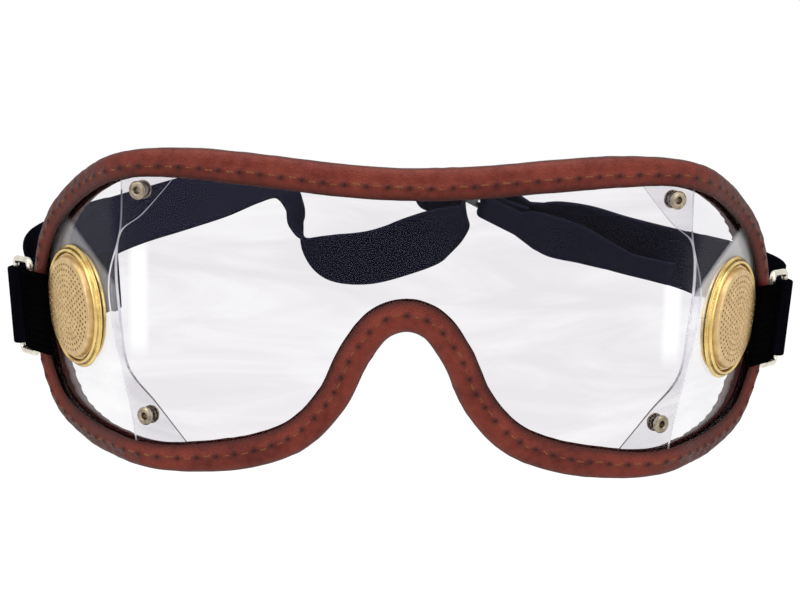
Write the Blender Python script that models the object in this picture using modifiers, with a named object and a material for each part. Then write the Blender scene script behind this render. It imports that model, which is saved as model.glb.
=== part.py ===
"""Wrap-round skydiving goggles: a clear front lens and side panels riveted together, bound in
padded leather, with brass side vents and an elastic strap on wire rings.

Run with: blender --background --python part.py
Metres, +Z up. The lens faces -Y, and the origin is on its middle plane, midway across.
"""

import math

import bmesh
import bpy
import numpy as np
from mathutils import Matrix, Vector

MM = 0.001

# Driving dimensions of the clear sheets and of the way that they wrap round the face
half_girth = 108.5 * MM  # from the middle to the end of a side panel, along the sheet
front_half = half_girth * 0.484  # from the middle to the start of the bend
bend_length = half_girth * 0.138
front_turn = math.radians(14)  # how far the sheet has turned at the start of the bend
side_turn = math.radians(58)  # and beside the eyes
cone_drop = 813.0 * MM  # the sheet is part of a cone whose tip is this far below it
cone_depth = 56.5 * MM  # and this far behind its front
sheet_thickness = 0.6 * MM
gap = 0.3 * MM  # clearance between neighbouring pieces

# Flat outline of the window
crown_rise = 29.2 * MM  # highest edge, over the eyes
lobe_drop = 37.0 * MM  # lowest edge, under the eyes
nose_half_width = 22.5 * MM

# Leather binding, folded round foam along the whole edge
binding_front_width = 7.0 * MM
binding_side_width = 5.9 * MM
binding_overhang = 1.7 * MM  # past the edge of the sheets
front_crown = 1.75 * MM  # proud of the middle of the front lens
back_crown = 4.1 * MM
leather_thickness = 0.9 * MM
narrowing_start = 36.0 * MM  # where the binding goes from its front to its side width
narrowing_end = 60.0 * MM
leather_roundness_share = 2.5  # exponent of the section's curve: 2 is an ellipse

# Eyelets that rivet the sheets together at four corners
eyelet_upper_place = (half_girth * 0.518, crown_rise * 0.747)
eyelet_lower_place = (half_girth * 0.537, lobe_drop * -0.727)
eyelet_flange_radius = 2.0 * MM
eyelet_barrel_radius = 1.2 * MM
eyelet_bore_radius = 0.75 * MM
eyelet_flange_height = 0.5 * MM
eyelet_edge_share = 0.6  # how much of that height the flange has at its rims
eyelet_washer_thickness = 0.4 * MM
eyelet_curl = 0.35 * MM

# Side vents
vent_end_distance = 20.2 * MM  # from its middle to the end of the panel
vent_place = (half_girth - vent_end_distance, lobe_drop * -0.157)
vent_flange_radius = 14.0 * MM
vent_rim_radius = 13.3 * MM
vent_rim_inner_radius = 12.3 * MM
vent_rim_height = 0.9 * MM
vent_rim_round_share = 0.35  # of the rim's height that its edges are rounded by
vent_flange_thickness = 0.4 * MM
vent_barrel_radius = 8.6 * MM
vent_barrel_wall = 0.6 * MM
vent_screen_radius = 11.6 * MM
vent_screen_thickness = 1.4 * MM
vent_screen_crown = 0.35 * MM
vent_seat_lip = 0.5 * MM
vent_seat_thickness = 0.3 * MM
vent_hole_radius = 0.62 * MM
vent_hole_pitch = 2.35 * MM
vent_hole_rings = 3
vent_backing_radius = 12.6 * MM
vent_backing_thickness = 0.7 * MM
vent_curl = 0.5 * MM

# Webbing tabs, sewn over the sides of the binding, and the wire rings in them
webbing_width = 19.0 * MM
webbing_thickness = 1.2 * MM
tab_drop = 8.5 * MM  # middle of the tab, below the middle of the lens
tab_outer_reach = 8.0 * MM  # from the end of the sheet back over the vent's side
tab_inner_reach = 6.5 * MM
ring_wire_radius = 0.8 * MM
ring_bar_reach = 5.2 * MM  # first bar, past the end of the sheet
ring_bar_spacing = 8.4 * MM
ring_corner_radius = 1.3 * MM

# Elastic strap, in a long and a short length, and the slide between them
strap_width = 18.6 * MM
strap_thickness = 1.1 * MM
strap_lead = 10.0 * MM  # straight beside each ring, where it is sewn back on itself
strap_fold_share = 0.7  # of the thickness that the corners at the slide's end bar are rounded by
slide_lead = 5.5 * MM  # straight beside the slide
strap_tail_length = 41.0 * MM  # free, past the slide
strap_tail_turn = math.radians(34)  # how far its upper edge has turned from the short length
strap_tail_turn_run = 28.0 * MM  # over this distance
strap_tail_lift = 2.6 * MM  # how far it has moved up across the short length
strap_tail_lift_run = 24.0 * MM  # over this distance
slide_bar = 2.4 * MM
slide_end_bar = 1.7 * MM
slide_slot = 3.8 * MM
slide_side = 2.0 * MM
slide_thickness = 1.2 * MM
slide_corner_radius = 1.6 * MM

# How finely the round shapes are divided
stations_per_span = 3
front_scores = 8
bend_scores = 9
leather_outer_points = 8
leather_inner_points = 7
foam_points = 7
eyelet_sides = 10
vent_sides = 26
hole_sides = 6

# Window outline from the top middle round the side to the nose, each point as shares:
# along the sheet in half_girth, up in crown_rise or down in lobe_drop
upper_outline_shares = (
    (0.000, 0.890), (0.120, 0.908), (0.259, 0.960), (0.396, 1.000), (0.521, 0.980),
    (0.641, 0.880), (0.760, 0.726), (0.876, 0.500), (0.959, 0.180),
)
lower_outline_shares = (
    (0.999, -0.165), (1.000, -0.500), (0.936, -0.797), (0.785, -0.940), (0.622, -0.978),
    (0.452, -1.000), (0.313, -0.954),
)
# The nose arch: along the sheet in nose_half_width, down in lobe_drop
nose_outline_shares = ((1.00, -0.832), (0.644, -0.611), (0.422, -0.346), (0.204, -0.178), (0.0, -0.138))
# Inner edge of a side panel, and outer edge of the front lens, from top to bottom: along the
# sheet in half_girth, up in lobe_drop
panel_edge_shares = (
    (0.400, 0.860), (0.450, 0.660), (0.521, 0.446), (0.583, 0.330), (0.608, 0.130),
    (0.606, -0.200), (0.594, -0.440), (0.516, -0.655), (0.430, -0.960), (0.400, -1.060),
)
lens_edge_shares = (
    (0.556, 0.860), (0.560, 0.580), (0.575, 0.330), (0.632, 0.020), (0.628, -0.220),
    (0.600, -0.490), (0.576, -0.780), (0.570, -1.060),
)

# Routes of the strap behind the lens: the middle of the webbing, then the direction across it.
# The long length starts at the left ring's second bar and ends at the slide.
strap_long_route = (
    ((-92.4 * MM, 77.4 * MM, -5.0 * MM), (-0.06, -0.10, -0.99)),
    ((-87.6 * MM, 84.8 * MM, 1.5 * MM), (0.02, -0.40, -0.90)),
    ((-79.4 * MM, 89.4 * MM, 6.8 * MM), (0.14, -0.62, -0.77)),
    ((-70.0 * MM, 92.0 * MM, 10.4 * MM), (0.20, -0.70, -0.68)),
    ((-57.8 * MM, 94.0 * MM, 14.2 * MM), (0.20, -0.72, -0.66)),
    ((-46.6 * MM, 95.0 * MM, 17.8 * MM), (0.15, -0.74, -0.65)),
    ((-37.6 * MM, 95.0 * MM, 20.2 * MM), (0.05, -0.85, -0.52)),
    ((-30.5 * MM, 95.0 * MM, 19.4 * MM), (-0.18, -0.96, -0.22)),
    ((-27.3 * MM, 95.0 * MM, 14.5 * MM), (-0.19, -0.98, 0.02)),
    ((-26.6 * MM, 95.0 * MM, 9.6 * MM), (-0.17, -0.96, 0.20)),
    ((-24.0 * MM, 95.0 * MM, 5.0 * MM), (-0.15, -0.86, 0.46)),
    ((-18.0 * MM, 94.5 * MM, 1.6 * MM), (-0.02, -0.73, 0.69)),
    ((-9.0 * MM, 94.0 * MM, 1.4 * MM), (-0.05, -0.64, 0.77)),
    ((0.0 * MM, 93.6 * MM, 3.9 * MM), (-0.25, -0.63, 0.74)),
)
# The free end that the long length has past its ring, in front of the rest
strap_flap_route = (
    ((-88.4 * MM, 74.4 * MM, -7.0 * MM), (-0.02, 0.00, -1.00)),
    ((-83.2 * MM, 77.6 * MM, -6.9 * MM), (-0.02, 0.15, -0.98)),
    ((-77.4 * MM, 80.6 * MM, -5.6 * MM), (-0.02, 0.36, -0.93)),
    ((-71.6 * MM, 83.5 * MM, -3.9 * MM), (-0.03, 0.53, -0.85)),
)
slide_place = (20.0 * MM, 95.0 * MM, 19.0 * MM)
slide_heading = (0.90, -0.02, -0.43)
slide_across = (0.00, -0.945, 0.33)
# The loop that the long length makes on its way into the slide, from the slide's middle
strap_loop_route = (
    ((-12.0 * MM, -3.9 * MM, -11.4 * MM), (-0.30, -0.66, 0.70)),
    ((-6.6 * MM, -3.7 * MM, -8.4 * MM), (-0.26, -0.82, 0.50)),
    ((-3.6 * MM, -3.2 * MM, -5.6 * MM), (-0.12, -0.93, 0.34)),
    ((-5.4 * MM, -2.3 * MM, -3.0 * MM), (0.02, -0.95, 0.31)),
    ((-10.0 * MM, -2.3 * MM, -2.6 * MM), (0.06, -0.95, 0.31)),
    ((-13.8 * MM, -2.2 * MM, -1.4 * MM), (0.08, -0.95, 0.31)),
    ((-14.8 * MM, -1.5 * MM, 1.2 * MM), (0.10, -0.95, 0.31)),
    ((-12.2 * MM, -0.6 * MM, 2.9 * MM), (0.12, -0.95, 0.31)),
)
# The start of the short length, from the slide's middle
strap_start_route = (
    ((18.6 * MM, -1.0 * MM, -8.0 * MM), (0.18, -0.75, 0.64)),
    ((27.0 * MM, -2.4 * MM, -9.7 * MM), (0.16, -0.65, 0.74)),
)
# The short length goes on to the right ring's second bar
strap_short_route = (
    ((56.3 * MM, 91.0 * MM, 6.6 * MM), (0.15, -0.62, 0.77)),
    ((66.7 * MM, 90.4 * MM, 4.2 * MM), (0.17, -0.62, 0.77)),
    ((76.0 * MM, 89.0 * MM, 2.0 * MM), (0.20, -0.58, 0.79)),
    ((86.0 * MM, 85.4 * MM, -1.0 * MM), (0.20, -0.45, 0.87)),
    ((94.2 * MM, 77.5 * MM, -5.0 * MM), (0.04, -0.14, 0.99)),
)


def clear_scene():
    """Empty the file, so that the script can be run again."""
    for old in list(bpy.data.objects):
        bpy.data.objects.remove(old, do_unlink=True)
    for old in list(bpy.data.collections):
        bpy.data.collections.remove(old)


def new_collection(name):
    made = bpy.data.collections.new(name)
    bpy.context.scene.collection.children.link(made)
    return made


def new_material(name, color, roughness, metallic=0.0, alpha=1.0):
    made = bpy.data.materials.new(name)
    made.use_nodes = True
    shader = made.node_tree.nodes["Principled BSDF"]
    shader.inputs["Base Color"].default_value = (*color, 1.0)
    shader.inputs["Roughness"].default_value = roughness
    shader.inputs["Metallic"].default_value = metallic
    shader.inputs["Alpha"].default_value = alpha
    made.diffuse_color = (*color, alpha)
    return made


clear_scene()
parts = new_collection("skydiving_goggles")
cutters = new_collection("cutters")
clear_plastic = new_material("clear_plastic", (0.90, 0.90, 0.93), 0.08, alpha=0.3)
leather = new_material("leather", (0.23, 0.055, 0.03), 0.55)
foam = new_material("foam", (0.06, 0.055, 0.05), 0.9)
brass = new_material("brass", (0.78, 0.56, 0.24), 0.3, metallic=1.0)
nickel = new_material("nickel", (0.70, 0.66, 0.56), 0.3, metallic=1.0)
webbing = new_material("webbing", (0.012, 0.012, 0.015), 0.8)
elastic = new_material("elastic", (0.02, 0.022, 0.04), 0.8)
slide_plastic = new_material("slide_plastic", (0.015, 0.015, 0.017), 0.4)


def add_object(name, mesh, material, matrix=None, collection=parts):
    """One part, with its own copy of the material's slot."""
    made = bpy.data.objects.new(name, mesh)
    collection.objects.link(made)
    mesh.materials.append(material)
    if matrix is not None:
        made.matrix_world = matrix
    return made


def smooth(thing, degrees=40):
    thing.data.shade_smooth()
    thing.data.set_sharp_from_angle(angle=math.radians(degrees))


def mesh_from(builder, name):
    """A mesh from a function that fills a bmesh, with its faces turned outwards."""
    work = bmesh.new()
    builder(work)
    bmesh.ops.recalc_face_normals(work, faces=work.faces)
    mesh = bpy.data.meshes.new(name)
    work.to_mesh(mesh)
    work.free()
    return mesh


# The wrapped surface


def section_point(s):
    """Where the sheet's middle plane runs in plan, and which way it heads, at arc length s."""
    a = abs(s)
    front_bend = front_turn / front_half
    corner_bend = (side_turn - front_turn) / bend_length
    run = min(a, front_half)
    heading = front_bend * run
    x = math.sin(heading) / front_bend
    y = (1 - math.cos(heading)) / front_bend
    run = min(max(a - front_half, 0), bend_length)
    x += (math.sin(heading + corner_bend * run) - math.sin(heading)) / corner_bend
    y += (math.cos(heading) - math.cos(heading + corner_bend * run)) / corner_bend
    heading += corner_bend * run
    run = max(a - front_half - bend_length, 0)
    x += run * math.cos(heading)
    y += run * math.sin(heading)
    return math.copysign(x, s), y, math.copysign(heading, s)


def surface_frame(s, z, n=0.0):
    """A frame on the surface: X along the sheet, Y up it and Z out of its front."""
    x, y, heading = section_point(s)
    growth = 1 + z / cone_drop
    along = Vector((math.cos(heading), math.sin(heading), 0))
    up = Vector((x / cone_drop, (y - cone_depth) / cone_drop, 1))
    normal = along.cross(up).normalized()
    up = normal.cross(along)
    place = Vector((x * growth, cone_depth + (y - cone_depth) * growth, z)) + normal * n
    frame = Matrix((along, up, normal)).transposed().to_4x4()
    frame.translation = place
    return frame


def wrap(s, z, n=0.0):
    return surface_frame(s, z, n).translation


def side_frame(side, s, z):
    """The same on a side panel, with X always away from the middle of the goggles."""
    frame = surface_frame(side * s, z)
    turn = Matrix.Rotation(math.pi, 4, "Z") if side < 0 else Matrix.Identity(4)
    return frame @ turn


# The window's outline


def catmull_rom(points, samples, closed):
    """A centripetal Catmull-Rom curve, with the same number of samples in each span."""
    points = [np.array(p, float) for p in points]
    count = len(points)
    if closed:
        spans = [[points[(i + j - 1) % count] for j in range(4)] for i in range(count)]
    else:
        ends = [2 * points[0] - points[1], *points, 2 * points[-1] - points[-2]]
        spans = [ends[i : i + 4] for i in range(count - 1)]
    curve = []
    for a, b, c, d in spans:
        knots = [0.0]
        for p, q in ((a, b), (b, c), (c, d)):
            knots.append(knots[-1] + math.sqrt(np.linalg.norm(q - p)))
        for i in range(samples):
            t = knots[1] + (knots[2] - knots[1]) * i / samples
            pair = [
                (p * (k1 - t) + q * (t - k0)) / (k1 - k0)
                for p, q, k0, k1 in ((a, b, *knots[0:2]), (b, c, *knots[1:3]), (c, d, *knots[2:4]))
            ]
            low = (pair[0] * (knots[2] - t) + pair[1] * (t - knots[0])) / (knots[2] - knots[0])
            high = (pair[1] * (knots[3] - t) + pair[2] * (t - knots[1])) / (knots[3] - knots[1])
            curve.append((low * (knots[2] - t) + high * (t - knots[1])) / (knots[2] - knots[1]))
    if not closed:
        curve.append(points[-1])
    return curve


def window_outline():
    """The sheet's edge as (s, z) points: down the right side from the top, then up the left."""
    half = [(s * half_girth, z * crown_rise) for s, z in upper_outline_shares]
    half += [(s * half_girth, z * lobe_drop) for s, z in lower_outline_shares]
    half += [(s * nose_half_width, z * lobe_drop) for s, z in nose_outline_shares]
    whole = half + [(-s, z) for s, z in half[-2:0:-1]]
    return catmull_rom(whole, stations_per_span, closed=True)


outline = window_outline()


def edge_curve(shares):
    points = [(s * half_girth, z * lobe_drop) for s, z in shares]
    return catmull_rom(points, stations_per_span, closed=False)


panel_edge = edge_curve(panel_edge_shares)
lens_edge = edge_curve(lens_edge_shares)


def edge_at(edge, z):
    """How far out an edge curve is at height z."""
    heights = [-p[1] for p in edge]
    return float(np.interp(-z, heights, [p[0] for p in edge]))


# Clear sheets, cut flat and then bent


def crossing(edge, sign):
    """Height at which an edge curve meets the outline, above (+1) or below (-1) the middle."""
    best = None
    for p, q in zip(outline, outline[1:] + outline[:1]):
        for z in (p[1], q[1]):
            if z * sign < 0:
                break
        else:
            before = p[0] - edge_at(edge, p[1])
            after = q[0] - edge_at(edge, q[1])
            if p[0] > 0 and before * after <= 0 and before != after:
                share = before / (before - after)
                best = p + (q - p) * share
    return best


def lens_pattern():
    """Flat outline of the front lens."""
    top, bottom = crossing(lens_edge, 1), crossing(lens_edge, -1)
    right = [p for p in outline if p[0] > 0 and p[0] < edge_at(lens_edge, p[1])]
    upper = [p for p in right if p[1] > 0]
    lower = [p for p in right if p[1] <= 0]
    edge = [p for p in lens_edge if bottom[1] < p[1] < top[1]]
    half = [outline[0]] + upper + [top] + edge + [bottom] + lower
    nose = outline[len(outline) // 2]
    mirrored = [np.array((-p[0], p[1])) for p in half[:0:-1]]
    return half + [nose] + mirrored


def panel_pattern():
    """Flat outline of the right side panel."""
    top, bottom = crossing(panel_edge, 1), crossing(panel_edge, -1)
    rim = [p for p in outline if p[0] > edge_at(panel_edge, p[1])]
    edge = [p for p in panel_edge if bottom[1] < p[1] < top[1]]
    return [top] + rim + [bottom] + edge[::-1]


def bent_sheet(name, pattern, offset, side=1):
    """A flat pattern, scored along the cone's rulings, bent and given its thickness."""

    def build(work):
        corners = [work.verts.new((side * s, z, 0)) for s, z in pattern]
        work.faces.new(corners)
        far = max(abs(p[0]) for p in pattern)
        bend_step = bend_length / bend_scores
        scores = [front_half * i / front_scores for i in range(front_scores)]
        scores += [front_half + bend_step * i for i in range(bend_scores + 1)]
        for score in sorted({sign * s for s in scores if s < far for sign in (-1, 1)}):
            bmesh.ops.bisect_plane(
                work,
                geom=work.verts[:] + work.edges[:] + work.faces[:],
                dist=score_snap,
                plane_co=(score, 0, 0),
                plane_no=(1, 0, 0),
            )
        for vert in work.verts:
            vert.co = wrap(vert.co.x, vert.co.y, offset)

    made = add_object(name, mesh_from(build, name), clear_plastic)
    shell = made.modifiers.new("thickness", "SOLIDIFY")
    shell.thickness = sheet_thickness
    shell.offset = 0
    return made


score_snap = sheet_thickness / 600
panel_offset = -(sheet_thickness + gap)


def cut(target, name, radius, depth, matrix, sides):
    """Bore a round hole through a part."""

    def build(work):
        bmesh.ops.create_cone(
            work, cap_ends=True, segments=sides, radius1=radius, radius2=radius, depth=depth
        )

    made = add_object(name, mesh_from(build, name), nickel, matrix, cutters)
    made.display_type = "WIRE"
    made.hide_render = True
    bore = target.modifiers.new(name, "BOOLEAN")
    bore.object = made
    bore.operation = "DIFFERENCE"
    bore.solver = "EXACT"
    return made


# Turned pieces


def turned(name, profile, material, matrix, sides):
    """A profile of (radius, height) points, closed on itself and spun about Z."""

    def build(work):
        corners = [work.verts.new((r, 0, h)) for r, h in profile]
        for a, b in zip(corners, corners[1:] + corners[:1]):
            work.edges.new((a, b))

    made = add_object(name, mesh_from(build, name), material, matrix)
    spin = made.modifiers.new("spin", "SCREW")
    spin.steps = sides
    spin.render_steps = sides
    spin.use_merge_vertices = True
    spin.merge_threshold = gap / 10
    return made


# Webbing


def ribbon(name, stations, width, thickness, material, origin=Vector((0, 0, 0))):
    """Webbing along stations of (middle, direction across it)."""

    def build(work):
        rows = []
        for index, (middle, across) in enumerate(stations):
            before = stations[max(index - 1, 0)][0]
            after = stations[min(index + 1, len(stations) - 1)][0]
            along = (after - before).normalized()
            across = (across - along * across.dot(along)).normalized()
            reach = across * width / 2
            rows.append([work.verts.new(middle + reach * side - origin) for side in (-1, 1)])
        for low, high in zip(rows, rows[1:]):
            work.faces.new((low[0], low[1], high[1], high[0]))

    made = add_object(name, mesh_from(build, name), material, Matrix.Translation(origin))
    shell = made.modifiers.new("thickness", "SOLIDIFY")
    shell.thickness = thickness
    shell.offset = 0
    return made


def rounded_path(points, radius, steps=3):
    """A path of straight runs whose corners are rounded off, each by at most the radius."""
    path = [points[0]]
    for before, corner, after in zip(points, points[1:], points[2:]):
        reach = min(radius, (corner - before).length / 2, (after - corner).length / 2)
        start = corner + (before - corner).normalized() * reach
        end = corner + (after - corner).normalized() * reach
        for i in range(steps + 1):
            t = i / steps
            path.append(start * (1 - t) ** 2 + corner * 2 * t * (1 - t) + end * t**2)
    path.append(points[-1])
    kept = [path[0]]
    for point in path[1:]:
        if (point - kept[-1]).length > gap / 3:
            kept.append(point)
    return kept


# Making the parts


def make_sheets():
    lens = bent_sheet("front_lens", lens_pattern(), 0.0)
    panels = {
        1: bent_sheet("side_panel_right", panel_pattern(), panel_offset),
        -1: bent_sheet("side_panel_left", panel_pattern(), panel_offset, side=-1),
    }
    return lens, panels


def make_eyelets(lens, panels):
    """A brass eyelet and its washer at each corner, through both sheets."""
    over = sheet_thickness / 2 + gap
    under = panel_offset - sheet_thickness / 2 - gap
    washer_back = under - eyelet_washer_thickness
    back = washer_back - gap - eyelet_curl
    middle = (eyelet_flange_radius + eyelet_barrel_radius) / 2
    curl_radius = eyelet_barrel_radius + eyelet_curl
    profile = [
        (eyelet_flange_radius, over),
        (eyelet_barrel_radius, over),
        (eyelet_barrel_radius, washer_back - gap),
        (curl_radius, washer_back - gap),
        (curl_radius, back),
        (eyelet_bore_radius, back),
        (eyelet_bore_radius, over + eyelet_flange_height * eyelet_edge_share),
        (middle, over + eyelet_flange_height),
    ]
    washer = [
        (eyelet_flange_radius, under),
        (eyelet_flange_radius, washer_back),
        (eyelet_barrel_radius + gap, washer_back),
        (eyelet_barrel_radius + gap, under),
    ]
    bore = eyelet_barrel_radius + gap
    for side, hand in ((-1, "left"), (1, "right")):
        for level, (s, z) in (("upper", eyelet_upper_place), ("lower", eyelet_lower_place)):
            frame = surface_frame(side * s, z)
            where = f"{level}_{hand}"
            smooth(turned(f"eyelet_{where}", profile, brass, frame, eyelet_sides))
            smooth(turned(f"eyelet_washer_{where}", washer, brass, frame, eyelet_sides))
            depth = (over - under) * 2
            cut(lens, f"lens_hole_{where}", bore, depth, frame, eyelet_sides)
            cut(panels[side], f"panel_hole_{where}", bore, depth, frame, eyelet_sides)


def binding_width(s):
    """The binding is widest over the brow and the nose, and narrows towards the sides."""
    share = min(max((abs(s) - narrowing_start) / (narrowing_end - narrowing_start), 0), 1)
    share = share * share * (3 - 2 * share)
    return binding_front_width + (binding_side_width - binding_front_width) * share


channel_top = sheet_thickness / 2 + gap
channel_bottom = panel_offset - sheet_thickness / 2 - gap
channel_middle = (channel_top + channel_bottom) / 2


def rounded_side(width, inset, start, end, count):
    """Points of the section's rounded contour, inset from the leather's face.

    The contour runs from the height start, on the lens side, round the outer edge to the height
    end. Heights are measured from the front lens's middle plane."""
    half = width / 2 - inset
    centre = binding_overhang - width / 2
    front = front_crown - channel_middle - inset
    back = back_crown + channel_middle - inset
    power = 2 / leather_roundness_share

    def angle(height):
        reach = front if height > channel_middle else back
        share = min(abs(height - channel_middle) / reach, 1.0)
        turn = math.pi - math.asin(share ** (1 / power))
        return math.copysign(turn, height - channel_middle)

    points = []
    first, last = angle(start), angle(end)
    for i in range(count):
        turn = first + (last - first) * i / (count - 1)
        reach = front if turn > 0 else back
        c, s = math.cos(turn), math.sin(turn)
        points.append(
            (
                centre + half * math.copysign(abs(c) ** power, c),
                channel_middle + reach * math.copysign(abs(s) ** power, s),
            )
        )
    return points


def leather_section(width):
    """The leather folded round the edge, open on the lens side where the sheets go in."""
    outer = rounded_side(width, 0, channel_top, channel_bottom, leather_outer_points)
    inner = rounded_side(width, leather_thickness, channel_top, channel_bottom, leather_inner_points)
    return outer + inner[::-1]


def sweep_round(name, section, material):
    """A section carried round the outline, square to the edge and to the sheet."""
    count = len(outline)

    def build(work):
        rows = []
        for index in range(count):
            s, z = outline[index]
            frame = surface_frame(s, z)
            normal = frame.col[2].xyz
            before = wrap(*outline[index - 1])
            after = wrap(*outline[(index + 1) % count])
            outward = normal.cross((after - before)).normalized()
            row = [
                work.verts.new(frame.translation + outward * u + normal * n)
                for u, n in section(binding_width(s))
            ]
            rows.append(row)
        for here, there in zip(rows, rows[1:] + rows[:1]):
            for i in range(len(here)):
                j = (i + 1) % len(here)
                work.faces.new((here[i], here[j], there[j], there[i]))

    return add_object(name, mesh_from(build, name), material)


def foam_section(width):
    """The foam inside the leather, flat against the back of the sheets."""
    inset = leather_thickness + gap
    half = width / 2 - inset
    centre = binding_overhang - width / 2
    depth = back_crown + channel_middle - inset
    power = 2 / leather_roundness_share
    first = math.asin(((channel_middle - channel_bottom) / depth) ** (1 / power))
    points = []
    for i in range(foam_points):
        turn = first + (math.pi - 2 * first) * i / (foam_points - 1)
        c, s = math.cos(turn), math.sin(turn)
        u = centre + half * math.copysign(abs(c) ** power, c)
        points.append((u, channel_middle - depth * s**power))
    return points


def make_binding():
    smooth(sweep_round("leather_binding", leather_section, leather), 35)
    smooth(sweep_round("foam_core", foam_section, foam), 50)


def make_vents(panels):
    """A flanged bezel, the perforated screen seated in it, and the ring that backs it."""
    seat = panel_offset + sheet_thickness / 2 + gap
    floor = seat + vent_flange_thickness
    top = floor + vent_rim_height
    edge = vent_rim_height * vent_rim_round_share
    middle = (vent_rim_radius + vent_rim_inner_radius) / 2
    barrel_inner = vent_barrel_radius - vent_barrel_wall
    panel_back = panel_offset - sheet_thickness / 2
    backing_front = panel_back - gap
    backing_back = backing_front - vent_backing_thickness
    curl_front = backing_back - gap
    bezel = [
        (vent_flange_radius, seat),
        (vent_barrel_radius, seat),
        (vent_barrel_radius, curl_front),
        (vent_barrel_radius + vent_curl, curl_front),
        (vent_barrel_radius + vent_curl, curl_front - vent_curl),
        (barrel_inner, curl_front - vent_curl),
        (barrel_inner, floor),
        (vent_rim_inner_radius, floor),
        (vent_rim_inner_radius, top - edge),
        (vent_rim_inner_radius + edge, top),
        (middle, top + edge / 3),
        (vent_rim_radius - edge, top),
        (vent_rim_radius, top - edge),
        (vent_rim_radius, floor),
        (vent_flange_radius, seat + vent_flange_thickness / 2),
    ]
    backing = [
        (vent_backing_radius, backing_front),
        (vent_backing_radius, backing_back),
        (vent_barrel_radius + gap, backing_back),
        (vent_barrel_radius + gap, backing_front),
    ]
    for side, hand in ((-1, "left"), (1, "right")):
        frame = surface_frame(side * vent_place[0], vent_place[1])
        smooth(turned(f"vent_bezel_{hand}", bezel, brass, frame, vent_sides))
        smooth(turned(f"vent_backing_ring_{hand}", backing, brass, frame, vent_sides))
        bore = vent_barrel_radius + gap
        cut(panels[side], f"vent_hole_{hand}", bore, vent_rim_radius, frame, vent_sides)
        make_screen(hand, frame @ Matrix.Translation((0, 0, floor + gap)))


def make_screen(hand, frame):
    """A disc raised in the middle, with rings of round holes."""
    outer = vent_rim_inner_radius - gap
    step = vent_seat_thickness
    face = vent_screen_thickness
    chamfer = vent_seat_lip / 2

    def build(work):
        levels = [
            (outer, 0),
            (outer, step),
            (vent_screen_radius, step),
            (vent_screen_radius - chamfer, face),
            (vent_screen_radius / 2, face + vent_screen_crown),
        ]
        turns = [math.tau * i / vent_sides for i in range(vent_sides)]
        rings = []
        for radius, height in levels:
            places = [(radius * math.cos(t), radius * math.sin(t), height) for t in turns]
            rings.append([work.verts.new(place) for place in places])
        for low, high in zip(rings, rings[1:]):
            for i in range(vent_sides):
                j = (i + 1) % vent_sides
                work.faces.new((low[i], low[j], high[j], high[i]))
        work.faces.new(rings[0][::-1])
        work.faces.new(rings[-1])

    screen = add_object(f"vent_screen_{hand}", mesh_from(build, "vent_screen"), brass, frame)
    name = f"screen_punch_{hand}"

    def punch(work):
        for ring in range(vent_hole_rings + 1):
            count = max(6 * ring, 1)
            for i in range(count):
                turn = math.tau * i / count
                place = Vector((math.cos(turn), math.sin(turn), 0)) * ring * vent_hole_pitch
                bmesh.ops.create_cone(
                    work,
                    cap_ends=True,
                    segments=hole_sides,
                    radius1=vent_hole_radius,
                    radius2=vent_hole_radius,
                    depth=vent_rim_radius,
                    matrix=Matrix.Translation(place),
                )

    made = add_object(name, mesh_from(punch, name), nickel, frame, cutters)
    made.display_type = "WIRE"
    made.hide_render = True
    bore = screen.modifiers.new("holes", "BOOLEAN")
    bore.object = made
    bore.operation = "DIFFERENCE"
    bore.solver = "EXACT"
    smooth(screen)


def make_tab(side, hand):
    """Webbing folded round the ring's first bar, its two legs sewn over the binding."""
    frame = side_frame(side, half_girth, -tab_drop)
    half = webbing_thickness / 2
    outer = front_crown + gap + half
    inner = -(back_crown + gap + half)
    turn_radius = ring_wire_radius + gap + half
    shoulder = binding_overhang + gap
    bar = ring_bar_reach
    path = [
        (-tab_outer_reach, outer),
        (shoulder, outer),
        (bar, turn_radius),
        (bar + turn_radius, turn_radius),
        (bar + turn_radius, -turn_radius),
        (bar, -turn_radius),
        (shoulder, inner),
        (-tab_inner_reach, inner),
    ]
    across = frame.col[1].xyz
    points = [frame @ Vector((out, 0, n)) for out, n in path]
    path = rounded_path(points, turn_radius, steps=5)
    ribbon(f"webbing_tab_{hand}", [(p, across) for p in path], webbing_width, webbing_thickness, webbing)


def ring_frame(side):
    """Frame of a ring: its origin on the bar in the tab, X towards its second bar."""
    return side_frame(side, half_girth, -tab_drop) @ Matrix.Translation((ring_bar_reach, 0, 0))


def make_ring(side, hand):
    """A rounded rectangle of wire."""
    height = webbing_width / 2 + gap
    corner = ring_corner_radius
    far = ring_bar_spacing - corner
    centres = ((corner, height), (corner, -height), (far, -height), (far, height))
    points = []
    for quarter, (x, y) in enumerate(centres, start=1):
        for i in range(5):
            turn = math.pi / 2 * (quarter + i / 4)
            points.append((x + corner * math.cos(turn), y + corner * math.sin(turn), 0))
    line = bpy.data.curves.new(f"wire_ring_{hand}", "CURVE")
    line.dimensions = "3D"
    line.bevel_depth = ring_wire_radius
    line.bevel_resolution = 2
    spline = line.splines.new("POLY")
    spline.points.add(len(points) - 1)
    for point, place in zip(spline.points, points):
        point.co = (*place, 1)
    spline.use_cyclic_u = True
    spline.use_smooth = True
    made = bpy.data.objects.new(f"wire_ring_{hand}", line)
    parts.objects.link(made)
    line.materials.append(nickel)
    made.matrix_world = ring_frame(side)


def second_bar(side):
    """Middle and upward direction of the bar that the strap goes round."""
    frame = ring_frame(side) @ Matrix.Translation((ring_bar_spacing, 0, 0))
    up = frame.col[1].xyz
    return frame.translation, up if up.z > 0 else -up


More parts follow.
